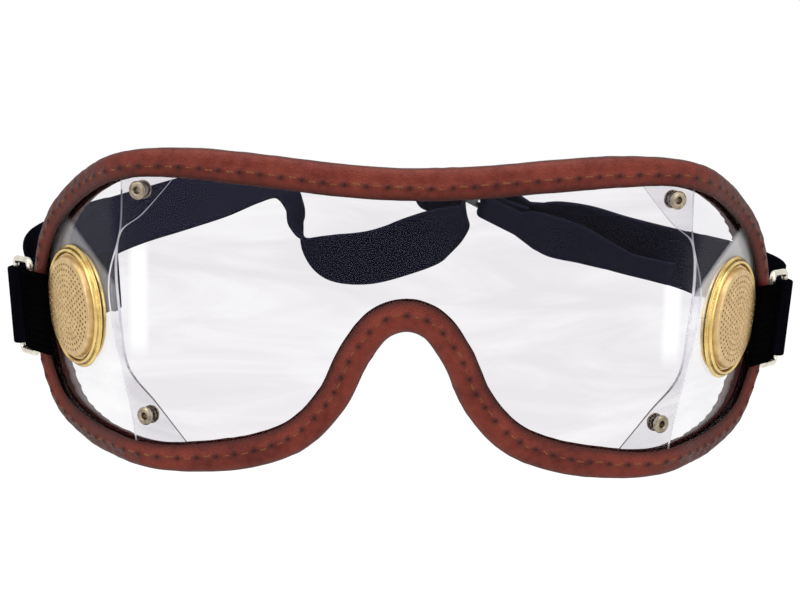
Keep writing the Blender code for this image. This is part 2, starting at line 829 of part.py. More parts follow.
def slide_matrix():
    """Frame of the slide: X along the strap, Y across it and Z out of the wearer's strap."""
    along = Vector(slide_heading).normalized()
    across = Vector(slide_across)
    across = (across - along * across.dot(along)).normalized()
    frame = Matrix((along, across, along.cross(across))).transposed().to_4x4()
    frame.translation = Vector(slide_place)
    return frame


def route_stations(route, samples):
    """Smooth stations through a route of places and directions."""
    rows = [(*place, *(d * MM for d in across)) for place, across in route]
    curve = catmull_rom(rows, samples, closed=False)
    return [(Vector(row[:3]), Vector(row[3:]).normalized()) for row in curve]


def from_slide(route):
    """A route whose places are measured from the slide's middle."""
    return tuple((tuple(Vector(slide_place) + Vector(place)), across) for place, across in route)


def leaving_direction(bar, up, place):
    """From a bar towards a place on the strap's route, square to the bar."""
    leaving = Vector(place) - bar
    return (leaving - up * leaving.dot(up)).normalized()


def bar_turn(bar, up, leaving, radius):
    """Stations round a bar, from one face of the doubled webbing to the other.

    leaving points from the bar along the webbing."""
    sideways = leaving.cross(up)
    lift = math.asin(strap_layer / radius)
    stations = []
    for i in range(9):
        turn = math.pi / 2 - lift / 2 + (math.pi + lift) * i / 8
        stations.append((bar + (leaving * math.cos(turn) + sideways * math.sin(turn)) * radius, up))
    return stations


def doubled_stations(bar, up, leaving, offset, length):
    """The straight run of one layer from beside a bar, offset to the side of its middle."""
    sideways = leaving.cross(up) * offset
    return [(bar + sideways + leaving * length * share, up) for share in (0.5, 1.0)]


def slide_stations(frame, points, radius):
    """Rounded stations through (along, above) points of the slide's frame."""
    places = [frame @ Vector((x, 0, n)) for x, n in points]
    return [(place, frame.col[1].xyz) for place in rounded_path(places, radius, steps=4)]


# The strap's layers at the slide: how far out they run, and how far from its middle plane
strap_layer = (strap_thickness + gap) / 2
strap_turn_radius = ring_wire_radius + gap + strap_thickness / 2
over_slide = slide_thickness / 2 + gap + strap_thickness / 2
over_loop = over_slide + strap_thickness + gap
slide_outside = slide_bar / 2 + slide_slot + slide_end_bar + strap_thickness / 2
loop_inside = slide_bar / 2 + slide_slot - gap - strap_thickness / 2


def make_strap_long():
    """Sewn to itself round the left ring, where it has a free end, and woven through the slide."""
    bar, up = second_bar(-1)
    up = -up  # half a turn is left in the strap between the rings
    leaving = leaving_direction(bar, up, strap_long_route[0][0])
    near = (tuple(bar + leaving * strap_lead), tuple(up))
    frame = slide_matrix()
    slot_side = slide_bar / 2 + gap + strap_thickness
    entry = (tuple(frame @ Vector((-slide_outside, 0, over_slide))), tuple(frame.col[1].xyz))

    points = (near, *strap_long_route, *from_slide(strap_loop_route), entry)
    route = route_stations(points, stations_per_span)
    doubled = doubled_stations(bar, up, leaving, -strap_layer, strap_lead - strap_thickness)
    flap_start = (tuple(doubled[-1][0]), tuple(up))
    stations = route_stations((flap_start, *strap_flap_route), stations_per_span)[::-1]
    stations += doubled[:-1]
    stations += bar_turn(bar, up, leaving, strap_turn_radius)[::-1]
    stations += doubled_stations(bar, up, leaving, strap_layer, strap_lead) + route[2:-1]

    loop_edge = loop_inside - strap_thickness - gap
    weave = (
        (-slide_outside, over_slide),
        (-slot_side - strap_thickness, over_slide),
        (-slot_side, -over_slide),
        (loop_edge - strap_thickness / 3, -over_slide),
        (loop_edge, over_loop),
        (slide_outside + slide_lead, over_loop),
    )
    stations += slide_stations(frame, weave, strap_thickness)
    stations += tail_stations(frame)
    smooth(ribbon("strap_long", stations, strap_width, strap_thickness, elastic))


def short_stations(frame):
    """Stations of the short length's middle, from beside the slide to beside the right ring."""
    bar, up = second_bar(1)
    leaving = leaving_direction(bar, up, strap_short_route[-1][0])
    near = (tuple(bar + leaving * strap_lead), tuple(up))
    entry = (tuple(frame @ Vector((slide_outside + slide_lead, 0, 0))), tuple(frame.col[1].xyz))
    return route_stations((entry, *from_slide(strap_start_route), *strap_short_route, near), 4)


def tail_stations(frame):
    """Stations of the free tail: over the short length, with its upper edge turning from it."""
    route = short_stations(frame)
    start = slide_outside + slide_lead
    stations = []
    for index in range(2, len(route)):
        middle, across = route[index]
        distance = (middle - frame.translation).length - start
        if distance > strap_tail_length:
            break
        turn = strap_tail_turn * min(distance / strap_tail_turn_run, 1)
        lift = strap_tail_lift * min(distance / strap_tail_lift_run, 1)
        normal = (middle - route[index - 1][0]).cross(across).normalized()
        turned_across = across * math.cos(turn) + normal * math.sin(turn)
        lower_edge = middle + normal * over_loop - across * (strap_width / 2 - lift)
        stations.append((lower_edge + turned_across * strap_width / 2, turned_across))
    return stations


def make_strap_short():
    """Sewn back on itself round the slide's end bar and round the right ring."""
    bar, up = second_bar(1)
    leaving = leaving_direction(bar, up, strap_short_route[-1][0])
    frame = slide_matrix()
    start = slide_outside + slide_lead

    route = short_stations(frame)
    loop = (
        (start, strap_layer),
        (slide_outside, over_slide),
        (loop_inside, over_slide),
        (loop_inside, -over_slide),
        (slide_outside, -over_slide),
        (start, -strap_layer),
    )
    stations = slide_stations(frame, loop, strap_thickness * strap_fold_share)
    stations += route[2:-2] + doubled_stations(bar, up, leaving, strap_layer, strap_lead)[::-1]
    stations += bar_turn(bar, up, leaving, strap_turn_radius)
    stations += doubled_stations(bar, up, leaving, -strap_layer, strap_lead - strap_thickness)
    smooth(ribbon("strap_short", stations, strap_width, strap_thickness, elastic))


def make_slide():
    """A flat frame with two slots."""
    half_length = slide_bar / 2 + slide_slot + slide_end_bar
    half_height = strap_width / 2 + gap + slide_side
    slot_height = strap_width / 2 + gap
    line = bpy.data.curves.new("slide_adjuster", "CURVE")
    line.dimensions = "2D"
    line.fill_mode = "BOTH"
    line.extrude = slide_thickness / 2

    def loop(points):
        spline = line.splines.new("POLY")
        spline.points.add(len(points) - 1)
        for point, (x, y) in zip(spline.points, points):
            point.co = (x, y, 0, 1)
        spline.use_cyclic_u = True

    corner = slide_corner_radius
    outer = []
    for sx, sy, start in ((1, 1, 0), (-1, 1, 90), (-1, -1, 180), (1, -1, 270)):
        for i in range(4):
            turn = math.radians(start + 30 * i)
            x = sx * (half_length - corner) + corner * math.cos(turn)
            outer.append((x, sy * (half_height - corner) + corner * math.sin(turn)))
    loop(outer)
    for sign in (-1, 1):
        near = sign * slide_bar / 2
        far = sign * (slide_bar / 2 + slide_slot)
        loop([(near, -slot_height), (far, -slot_height), (far, slot_height), (near, slot_height)])
    made = bpy.data.objects.new("slide_adjuster_outline", line)
    parts.objects.link(made)
    bpy.context.view_layer.update()
    evaluated = made.evaluated_get(bpy.context.evaluated_depsgraph_get())
    mesh = bpy.data.meshes.new_from_object(evaluated)
    work = bmesh.new()
    work.from_mesh(mesh)
    bmesh.ops.remove_doubles(work, verts=work.verts, dist=gap / 10)
    bmesh.ops.recalc_face_normals(work, faces=work.faces)
    work.to_mesh(mesh)
    work.free()
    mesh.name = "slide_adjuster"
    bpy.data.objects.remove(made, do_unlink=True)
    add_object("slide_adjuster", mesh, slide_plastic, slide_matrix())


lens, panels = make_sheets()
make_eyelets(lens, panels)
make_binding()
make_vents(panels)
for side, hand in ((-1, "left"), (1, "right")):
    make_tab(side, hand)
    make_ring(side, hand)
make_strap_long()
make_strap_short()
make_slide()
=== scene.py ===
"""Looks of the wrap-round goggles: clear sheets in stitched, padded leather, brass vents and
eyelets, and an elastic strap with its slide.

Metres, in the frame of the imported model: the lens faces -Y and the strap hangs behind it.
"""

import functools
import math
import random

import bmesh
import bpy
import numpy as np
from mathutils import Matrix, Vector, geometry


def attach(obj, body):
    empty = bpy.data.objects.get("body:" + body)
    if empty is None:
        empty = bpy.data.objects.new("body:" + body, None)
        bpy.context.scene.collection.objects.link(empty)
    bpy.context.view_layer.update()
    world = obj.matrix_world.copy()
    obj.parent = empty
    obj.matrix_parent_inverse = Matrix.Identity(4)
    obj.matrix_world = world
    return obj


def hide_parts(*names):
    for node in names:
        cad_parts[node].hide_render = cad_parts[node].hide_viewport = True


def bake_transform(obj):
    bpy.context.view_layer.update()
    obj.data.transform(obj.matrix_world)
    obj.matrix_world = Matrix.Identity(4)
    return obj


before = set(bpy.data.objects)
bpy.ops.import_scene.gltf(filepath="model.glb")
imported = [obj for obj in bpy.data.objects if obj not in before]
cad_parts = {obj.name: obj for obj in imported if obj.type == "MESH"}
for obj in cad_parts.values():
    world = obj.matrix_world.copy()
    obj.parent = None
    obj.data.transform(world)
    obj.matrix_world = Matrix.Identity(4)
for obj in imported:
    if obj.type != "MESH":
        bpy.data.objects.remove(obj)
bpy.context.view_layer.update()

MM = 0.001
random.seed(7)
hands = ((-1, "left"), (1, "right"))

# Camera
camera_distance = 404 * MM
camera_yaw = math.radians(-1.29)
camera_elevation = math.radians(5.63)
camera_roll = math.radians(1.12)
camera_lens = 86.69
camera_shift = (-0.009, 0.001)
camera_clip = 10 * MM


def add_object(name, data):
    made = bpy.data.objects.new(name, data)
    bpy.context.scene.collection.objects.link(made)
    return made


def axes_matrix(x_axis, y_axis, z_axis, origin):
    made = Matrix((x_axis, y_axis, z_axis)).transposed().to_4x4()
    made.translation = origin
    return made


def make_camera():
    level = math.cos(camera_elevation)
    sine, cosine = math.sin(camera_yaw), math.cos(camera_yaw)
    back = Vector((level * sine, -level * cosine, math.sin(camera_elevation)))
    right = Vector((cosine, sine, 0))
    up = back.cross(right)
    rolled_right = right * math.cos(camera_roll) + up * math.sin(camera_roll)
    rolled_up = up * math.cos(camera_roll) - right * math.sin(camera_roll)
    data = bpy.data.cameras.new("camera")
    data.sensor_width = 36
    data.lens = camera_lens
    data.shift_x, data.shift_y = camera_shift
    data.clip_start = camera_clip
    camera = add_object("camera", data)
    camera.matrix_world = axes_matrix(rolled_right, rolled_up, back, back * camera_distance)
    bpy.context.scene.camera = camera


make_camera()

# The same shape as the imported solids
half_girth = 108.5 * MM
front_half = half_girth * 0.484
bend_length = half_girth * 0.138
front_turn = math.radians(14)
side_turn = math.radians(58)
cone_drop = 813.0 * MM
cone_depth = 56.5 * MM
sheet_thickness = 0.6 * MM
gap = 0.3 * MM
crown_rise = 29.2 * MM
lobe_drop = 37.0 * MM
nose_half_width = 22.5 * MM
binding_front_width = 7.0 * MM
binding_side_width = 5.9 * MM
binding_overhang = 1.7 * MM
front_crown = 1.75 * MM
back_crown = 4.1 * MM
leather_thickness = 0.9 * MM
narrowing_start = 36.0 * MM
narrowing_end = 60.0 * MM
leather_roundness = 2.5
panel_offset = -(sheet_thickness + gap)
channel_top = sheet_thickness / 2 + gap
channel_bottom = panel_offset - sheet_thickness / 2 - gap
channel_middle = (channel_top + channel_bottom) / 2
eyelet_places = {
    "upper": (half_girth * 0.518, crown_rise * 0.747),
    "lower": (half_girth * 0.537, lobe_drop * -0.727),
}
eyelet_flange_radius = 2.0 * MM
eyelet_barrel_radius = 1.2 * MM
eyelet_bore_radius = 0.75 * MM
eyelet_washer_thickness = 0.4 * MM
eyelet_curl = 0.35 * MM
eyelet_throat_height = 0.34 * MM
eyelet_lip_height = 0.52 * MM
eyelet_lip_inset = 0.12 * MM
eyelet_dome_height = 0.5 * MM
eyelet_edge_height = 0.24 * MM
vent_place = (half_girth - 20.2 * MM, lobe_drop * -0.157)
vent_flange_radius = 14.0 * MM
vent_rim_radius = 13.3 * MM
vent_rim_inner_radius = 12.3 * MM
vent_rim_height = 0.9 * MM
vent_rim_edge = 0.3 * MM
vent_rim_crown = 0.08 * MM
vent_flange_thickness = 0.4 * MM
vent_barrel_radius = 8.6 * MM
vent_barrel_wall = 0.6 * MM
vent_barrel_curl = 0.5 * MM
vent_backing_radius = 12.6 * MM
vent_backing_thickness = 0.7 * MM
vent_screen_radius = 11.6 * MM
vent_screen_height = 1.4 * MM
vent_screen_crown = 0.35 * MM
vent_screen_thickness = 0.3 * MM
vent_screen_wall = 0.7 * MM
vent_hole_radius = 0.3 * MM
vent_hole_pitch = 1.22 * MM
vent_hole_rings = 8
webbing_width = 19.0 * MM
webbing_thickness = 1.2 * MM
tab_drop = 8.5 * MM
tab_outer_reach = 9.8 * MM
tab_inner_reach = 6.5 * MM
ring_wire_radius = 0.8 * MM
ring_bar_reach = 5.2 * MM
ring_bar_spacing = 8.4 * MM
ring_corner_radius = 1.3 * MM
strap_width = 18.6 * MM
strap_thickness = 1.1 * MM
strap_lead = 10.0 * MM
slide_lead = 5.5 * MM
strap_tail_length = 41.0 * MM
strap_tail_turn = math.radians(34)
strap_tail_turn_run = 28.0 * MM
strap_tail_lift = 2.6 * MM
strap_tail_lift_run = 24.0 * MM
slide_bar = 2.4 * MM
slide_end_bar = 1.7 * MM
slide_slot = 3.8 * MM
slide_side = 2.0 * MM
slide_thickness = 1.2 * MM
slide_corner = 1.3 * MM
slide_round_edge = 0.3 * MM
eyelet_rounding = 0.1 * MM
washer_rounding = 0.08 * MM
vent_bezel_rounding = 0.2 * MM
vent_backing_rounding = 0.15 * MM
# Between the points inside a sheet
lens_spacing = 1.6 * MM
panel_spacing = 1.5 * MM
screen_spacing = 0.6 * MM

upper_outline = (
    (0.000, 0.890), (0.120, 0.908), (0.259, 0.960), (0.396, 1.000), (0.521, 0.980),
    (0.641, 0.880), (0.760, 0.726), (0.876, 0.500), (0.959, 0.180),
)
lower_outline = (
    (0.999, -0.165), (1.000, -0.500), (0.936, -0.797), (0.785, -0.940), (0.622, -0.978),
    (0.452, -1.000), (0.313, -0.954),
)
nose_outline = ((1.00, -0.832), (0.644, -0.611), (0.422, -0.346), (0.204, -0.178), (0.0, -0.138))
panel_edge_shape = (
    (0.400, 0.860), (0.450, 0.660), (0.521, 0.446), (0.583, 0.330), (0.608, 0.130),
    (0.606, -0.200), (0.594, -0.440), (0.516, -0.655), (0.430, -0.960), (0.400, -1.060),
)
lens_edge_shape = (
    (0.556, 0.860), (0.560, 0.580), (0.575, 0.330), (0.632, 0.020), (0.628, -0.220),
    (0.600, -0.490), (0.576, -0.780), (0.570, -1.060),
)

# The strap's middle line in millimetres, and the direction across it
strap_long_route = (
    ((-91.4, 77.6, -5.0), (-0.06, -0.10, -0.99)),
    ((-86.6, 85.0, 1.5), (0.02, -0.40, -0.90)),
    ((-79.4, 89.4, 6.8), (0.14, -0.62, -0.77)),
    ((-70.0, 92.0, 10.4), (0.20, -0.70, -0.68)),
    ((-57.8, 94.0, 14.2), (0.20, -0.72, -0.66)),
    ((-46.6, 95.0, 17.8), (0.15, -0.74, -0.65)),
    ((-37.6, 95.0, 20.2), (0.05, -0.85, -0.52)),
    ((-30.5, 95.0, 19.4), (-0.18, -0.96, -0.22)),
    ((-27.3, 95.0, 14.5), (-0.19, -0.98, 0.02)),
    ((-26.6, 95.0, 9.6), (-0.17, -0.96, 0.20)),
    ((-24.0, 95.0, 5.0), (-0.15, -0.86, 0.46)),
    ((-18.0, 94.5, 1.6), (-0.02, -0.73, 0.69)),
    ((-9.0, 94.0, 1.4), (-0.05, -0.64, 0.77)),
    ((0.0, 93.6, 3.9), (-0.25, -0.63, 0.74)),
)
strap_flap_route = (
    ((-88.4, 74.4, -7.0), (-0.02, 0.00, -1.00)),
    ((-83.2, 77.6, -6.9), (-0.02, 0.15, -0.98)),
    ((-77.4, 80.6, -5.6), (-0.02, 0.36, -0.93)),
    ((-71.6, 83.5, -3.9), (-0.03, 0.53, -0.85)),
)
slide_place = (20.0, 95.0, 19.0)
slide_heading = (0.90, -0.02, -0.43)
slide_across = (0.00, -0.945, 0.33)
# From the slide's middle
strap_loop_route = (
    ((-12.0, -3.9, -11.4), (-0.30, -0.66, 0.70)),
    ((-6.6, -3.7, -8.4), (-0.26, -0.82, 0.50)),
    ((-3.6, -3.2, -5.6), (-0.12, -0.93, 0.34)),
    ((-5.4, -2.3, -3.0), (0.02, -0.95, 0.31)),
    ((-10.0, -2.3, -2.6), (0.06, -0.95, 0.31)),
    ((-13.8, -2.2, -1.4), (0.08, -0.95, 0.31)),
    ((-14.8, -1.5, 1.2), (0.10, -0.95, 0.31)),
    ((-12.2, -0.6, 2.9), (0.12, -0.95, 0.31)),
)
strap_start_route = (
    ((18.6, -1.0, -8.0), (0.18, -0.75, 0.64)),
    ((27.0, -2.4, -9.7), (0.16, -0.65, 0.74)),
)
strap_short_route = (
    ((56.3, 91.0, 6.6), (0.15, -0.62, 0.77)),
    ((66.7, 90.4, 4.2), (0.17, -0.62, 0.77)),
    ((76.0, 89.0, 2.0), (0.20, -0.58, 0.79)),
    ((86.0, 85.4, -1.0), (0.20, -0.45, 0.87)),
    ((94.2, 77.5, -5.0), (0.04, -0.14, 0.99)),
)


def in_metres(route, start=(0, 0, 0)):
    """A route's places in metres, measured from a start."""
    return tuple(((Vector(place) + Vector(start)) * MM, across) for place, across in route)


strap_long_route = in_metres(strap_long_route)
strap_flap_route = in_metres(strap_flap_route)
strap_loop_route = in_metres(strap_loop_route, slide_place)
strap_start_route = in_metres(strap_start_route, slide_place)
strap_short_route = in_metres(strap_short_route)
slide_place = Vector(slide_place) * MM


# The wrapped surface and the outline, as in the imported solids


def section_point(s):
    """Place and heading in plan of the sheet's middle plane, at arc length s."""
    a = abs(s)
    front_bend = front_turn / front_half
    corner_bend = (side_turn - front_turn) / bend_length
    heading = front_bend * min(a, front_half)
    x = math.sin(heading) / front_bend
    y = (1 - math.cos(heading)) / front_bend
    run = min(max(a - front_half, 0), bend_length)
    x += (math.sin(heading + corner_bend * run) - math.sin(heading)) / corner_bend
    y += (math.cos(heading) - math.cos(heading + corner_bend * run)) / corner_bend
    heading += corner_bend * run
    run = max(a - front_half - bend_length, 0)
    x += run * math.cos(heading)
    y += run * math.sin(heading)
    return math.copysign(x, s), y, math.copysign(heading, s)


def surface_frame(s, z, n=0.0):
    """A frame on the surface: X along the sheet, Y up it and Z out of its front."""
    x, y, heading = section_point(s)
    growth = 1 + z / cone_drop
    along = Vector((math.cos(heading), math.sin(heading), 0))
    up = Vector((x / cone_drop, (y - cone_depth) / cone_drop, 1))
    normal = along.cross(up).normalized()
    place = Vector((x * growth, cone_depth + (y - cone_depth) * growth, z)) + normal * n
    return axes_matrix(along, normal.cross(along), normal, place)


def wrap(s, z, n=0.0):
    return surface_frame(s, z, n).translation


def side_frame(side, s, z):
    """The same on a side panel, with X always away from the middle of the goggles."""
    turn = Matrix.Rotation(math.pi, 4, "Z") if side < 0 else Matrix.Identity(4)
    return surface_frame(side * s, z) @ turn


def catmull_rom(points, samples, closed):
    """A centripetal Catmull-Rom curve, with the same number of samples in each span."""
    points = [np.array(p, float) for p in points]
    count = len(points)
    if closed:
        spans = [[points[(i + j - 1) % count] for j in range(4)] for i in range(count)]
    else:
        ends = [2 * points[0] - points[1], *points, 2 * points[-1] - points[-2]]
        spans = [ends[i : i + 4] for i in range(count - 1)]
    curve = []
    for span in spans:
        knots = [0.0]
        for p, q in zip(span, span[1:]):
            knots.append(knots[-1] + math.sqrt(np.linalg.norm(q - p)))
        for i in range(samples):
            t = knots[1] + (knots[2] - knots[1]) * i / samples

            def between(p, q, first, last):
                return (p * (knots[last] - t) + q * (t - knots[first])) / (knots[last] - knots[first])

            low, middle, high = (between(span[k], span[k + 1], k, k + 1) for k in range(3))
            curve.append(between(between(low, middle, 0, 2), between(middle, high, 1, 3), 1, 2))
    if not closed:
        curve.append(points[-1])
    return curve


def window_outline(samples):
    """The sheet's edge as (s, z) points: down the right side from the top, then up the left."""
    half = [(s * half_girth, z * crown_rise) for s, z in upper_outline]
    half += [(s * half_girth, z * lobe_drop) for s, z in lower_outline]
    half += [(s * nose_half_width, z * lobe_drop) for s, z in nose_outline]
    return catmull_rom(half + [(-s, z) for s, z in half[-2:0:-1]], samples, closed=True)


def edge_curve(shape):
    return catmull_rom([(s * half_girth, z * lobe_drop) for s, z in shape], 10, closed=False)


outline = window_outline(12)
panel_edge = edge_curve(panel_edge_shape)
lens_edge = edge_curve(lens_edge_shape)


def edge_at(edge, z):
    """How far out an edge curve is at height z."""
    return float(np.interp(-z, [-p[1] for p in edge], [p[0] for p in edge]))


def crossing(edge, sign):
    """Point at which an edge curve meets the outline, above (+1) or below (-1) the middle."""
    best = None
    for p, q in zip(outline, outline[1:] + outline[:1]):
        if p[1] * sign < 0 or q[1] * sign < 0 or p[0] <= 0:
            continue
        before = p[0] - edge_at(edge, p[1])
        after = q[0] - edge_at(edge, q[1])
        if before * after <= 0 and before != after:
            best = p + (q - p) * before / (before - after)
    return best


def lens_pattern():
    """Flat outline of the front lens."""
    top, bottom = crossing(lens_edge, 1), crossing(lens_edge, -1)
    right = [p for p in outline if 0 < p[0] < edge_at(lens_edge, p[1])]
    upper = [p for p in right if p[1] > 0]
    lower = [p for p in right if p[1] <= 0]
    edge = [p for p in lens_edge if bottom[1] < p[1] < top[1]]
    half = [outline[0], *upper, top, *edge, bottom, *lower]
    mirrored = [np.array((-p[0], p[1])) for p in half[:0:-1]]
    return [*half, outline[len(outline) // 2], *mirrored]


def panel_pattern():
    """Flat outline of the right side panel."""
    top, bottom = crossing(panel_edge, 1), crossing(panel_edge, -1)
    rim = [p for p in outline if p[0] > edge_at(panel_edge, p[1])]
    edge = [p for p in panel_edge if bottom[1] < p[1] < top[1]]
    return [top, *rim, bottom, *edge[::-1]]


# Nodes


class Nodes:
    """The nodes of a material or a world. Their inputs take numbers, tuples and sockets."""

    def __init__(self, tree, main):
        self.tree = tree
        self.main = tree.nodes[main]

    @functools.cached_property
    def where(self):
        """The place on the piece."""
        return self.add("ShaderNodeTexCoord").outputs["Object"]

    def fill(self, node, **inputs):
        """Link or fill in inputs: i0 is the first, and Base_Color the one called Base Color."""
        for key, value in inputs.items():
            numbered = key[0] == "i" and key[1:].isdigit()
            socket = node.inputs[int(key[1:]) if numbered else key.replace("_", " ")]
            if isinstance(value, bpy.types.NodeSocket):
                self.tree.links.new(value, socket)
            elif socket.type == "RGBA":
                socket.default_value = (*value, 1.0)
            else:
                socket.default_value = value

    def shade(self, **inputs):
        self.fill(self.main, **inputs)

    def add(self, kind, settings=None, **inputs):
        made = self.tree.nodes.new(kind)
        for key, value in (settings or {}).items():
            setattr(made, key, value)
        self.fill(made, **inputs)
        return made

    def calculate(self, operation, a, b=0.0, clamp=False):
        settings = {"operation": operation, "use_clamp": clamp}
        return self.add("ShaderNodeMath", settings, i0=a, i1=b).outputs[0]

    def product(self, result, *factors):
        for factor in factors:
            result = self.calculate("MULTIPLY", result, factor)
        return result

    def distance(self, value, middle=0.0):
        return self.calculate("ABSOLUTE", self.calculate("SUBTRACT", value, middle))

    def mixed(self, share, a, b):
        """A colour between two."""
        return self.add("ShaderNodeMix", {"data_type": "RGBA"}, i0=share, i6=a, i7=b).outputs[2]

    def ranged(self, value, low, high, to_low=0.0, to_high=1.0):
        numbers = {"i1": low, "i2": high, "i3": to_low, "i4": to_high}
        return self.add("ShaderNodeMapRange", {"clamp": True}, i0=value, **numbers).outputs[0]

    def stretched(self, *scale):
        return self.add("ShaderNodeMapping", Vector=self.where, Scale=scale).outputs[0]

    def noise(self, scale, detail=3.0, roughness=0.5, distortion=0.0, vector=None):
        shape = {"Scale": scale, "Detail": detail, "Roughness": roughness, "Distortion": distortion}
        return self.add("ShaderNodeTexNoise", Vector=vector or self.where, **shape).outputs[0]

    def split(self, vector):
        return self.add("ShaderNodeSeparateXYZ", Vector=vector).outputs[:3]

    def channels(self, name):
        """The three numbers of a vector attribute."""
        return self.split(self.add("ShaderNodeAttribute", {"attribute_name": name}).outputs["Vector"])

    def facing(self):
        """0 for a surface seen straight on, up to 1 at a glancing angle."""
        return self.add("ShaderNodeLayerWeight", Blend=0.5).outputs["Facing"]

    def bump(self, height, distance, strength, below=None):
        relief = {"Height": height, "Distance": distance, "Strength": strength}
        if below is not None:
            relief["Normal"] = below
        return self.add("ShaderNodeBump", **relief).outputs[0]

    def pattern(self, value, dark, light, depth, strength):
        """Colour and relief from one pattern."""
        color = self.mixed(value, dark, light)
        self.shade(Base_Color=color, Normal=self.bump(value, depth, strength))

    def seen(self):
        """1 for what is seen straight, mirrored or through clear plastic, and 0 for light."""
        path = self.add("ShaderNodeLightPath").outputs
        seen = self.calculate("MAXIMUM", path["Is Camera Ray"], path["Is Glossy Ray"])
        return self.calculate("MAXIMUM", seen, path["Is Transmission Ray"])


def new_material(name, color, roughness, **inputs):
    """A Principled material, and its nodes."""
    made = bpy.data.materials.new(name)
    made.use_nodes = True
    nodes = Nodes(made.node_tree, "Principled BSDF")
    nodes.shade(Base_Color=color, Roughness=roughness, **inputs)
    return made, nodes


# Materials

# Where painted glare, reflection, light and shade change: a pair says where a change starts and ends
glare_place = 57.2 * MM  # out from the middle
glare_middle = -1.0 * MM  # up
glare_half_width = (1.2 * MM, 2.6 * MM)
glare_half_height = (9.0 * MM, 14.0 * MM)
reflection_slant = (-63.0 * MM, -61.2 * MM)  # height less the distance out
reflection_foot = (-14.0 * MM, 0.0)
reflection_middle = (-1.0 * MM, 1.0 * MM)
ior_above_slant = 1.06
painted_rim_lower = (-21.0 * MM, -13.0 * MM)
painted_rim_upper = (10.0 * MM, 15.0 * MM)
# Painted shade on the tape near the rings, out from the middle
painted_shade_by_ring = (84.0 * MM, 92.0 * MM)


def make_clear(name, color, ior, painted_reflection=None):
    """Clear plastic with faint smears and a painted glare, whiter at the bend. It lets the light of the
    lamps through.

    The painted reflection, on the left and the right, is a grey patch that a glancing view shows below a
    slant by the vents.
    """
    made, nodes = new_material(name, color, 0.01, Transmission_Weight=1.0, IOR=ior)
    x, _, z = nodes.split(nodes.where)
    out = nodes.distance(x)
    by_bend = nodes.ranged(nodes.distance(out, glare_place), *glare_half_width, 1.0, 0.0)
    by_middle = nodes.ranged(nodes.distance(z, glare_middle), *glare_half_height, 1.0, 0.0)
    smears = nodes.noise(60, 4, 0.6, 0.8, nodes.stretched(0.35, 0.35, 1.6))
    deeper = tuple(c * 0.97 for c in color)
    lighter = tuple(1 - (1 - c) * 0.55 for c in color)
    base = nodes.mixed(nodes.ranged(smears, 0.4, 0.66), deeper, lighter)
    # Painted highlight: the glare at the bend, mixed into the colour as near white
    nodes.shade(
        Base_Color=nodes.mixed(nodes.product(by_bend, by_middle), base, (0.99, 0.99, 1.0)),
        Roughness=nodes.ranged(nodes.noise(45, 2), 0.35, 0.75, 0.01, 0.04),
    )
    # Painted reflection: less of the plastic is clear and more of its grey colour shows, most at glancing
    # angles; above the slant a lower IOR gives fainter reflections
    if painted_reflection is not None:
        below = nodes.ranged(nodes.calculate("SUBTRACT", z, out), *reflection_slant, 1.0, 0.0)
        amount = nodes.product(
            nodes.ranged(x, *reflection_middle, *painted_reflection), nodes.ranged(nodes.facing(), 0.3, 0.6),
            below, nodes.ranged(z, *reflection_foot),
        )
        nodes.shade(
            Transmission_Weight=nodes.calculate("SUBTRACT", 1.0, amount),
            IOR=nodes.ranged(below, 0.0, 1.0, ior_above_slant, ior),
        )
    shadow = nodes.add("ShaderNodeLightPath").outputs["Is Shadow Ray"]
    passing = nodes.add("ShaderNodeBsdfTransparent", Color=(0.93, 0.93, 0.95)).outputs[0]
    blend = nodes.add("ShaderNodeMixShader", i0=shadow, i1=nodes.main.outputs[0], i2=passing)
    nodes.fill(nodes.tree.nodes["Material Output"], Surface=blend.outputs[0])
    return made


def make_clear_rim(name, lower_painted_color, upper_painted_color, alpha):
    """A sheet's cut edge, painted pale beside the vents like a lit edge, with other colours of painted light
    and shade below and above.
    """
    made, nodes = new_material(name, (0.8, 0.8, 0.85), 0.3, Specular_IOR_Level=0.3, Alpha=alpha)
    _, _, z = nodes.split(nodes.where)
    cut = nodes.ranged(nodes.noise(900, 2), 0.3, 0.7)
    color = nodes.mixed(cut, (0.76, 0.76, 0.83), (0.90, 0.90, 0.94))
    color = nodes.mixed(nodes.ranged(z, *painted_rim_upper), color, upper_painted_color)
    nodes.shade(Base_Color=nodes.mixed(nodes.ranged(z, *painted_rim_lower, 1.0, 0.0), color, lower_painted_color))
    return made


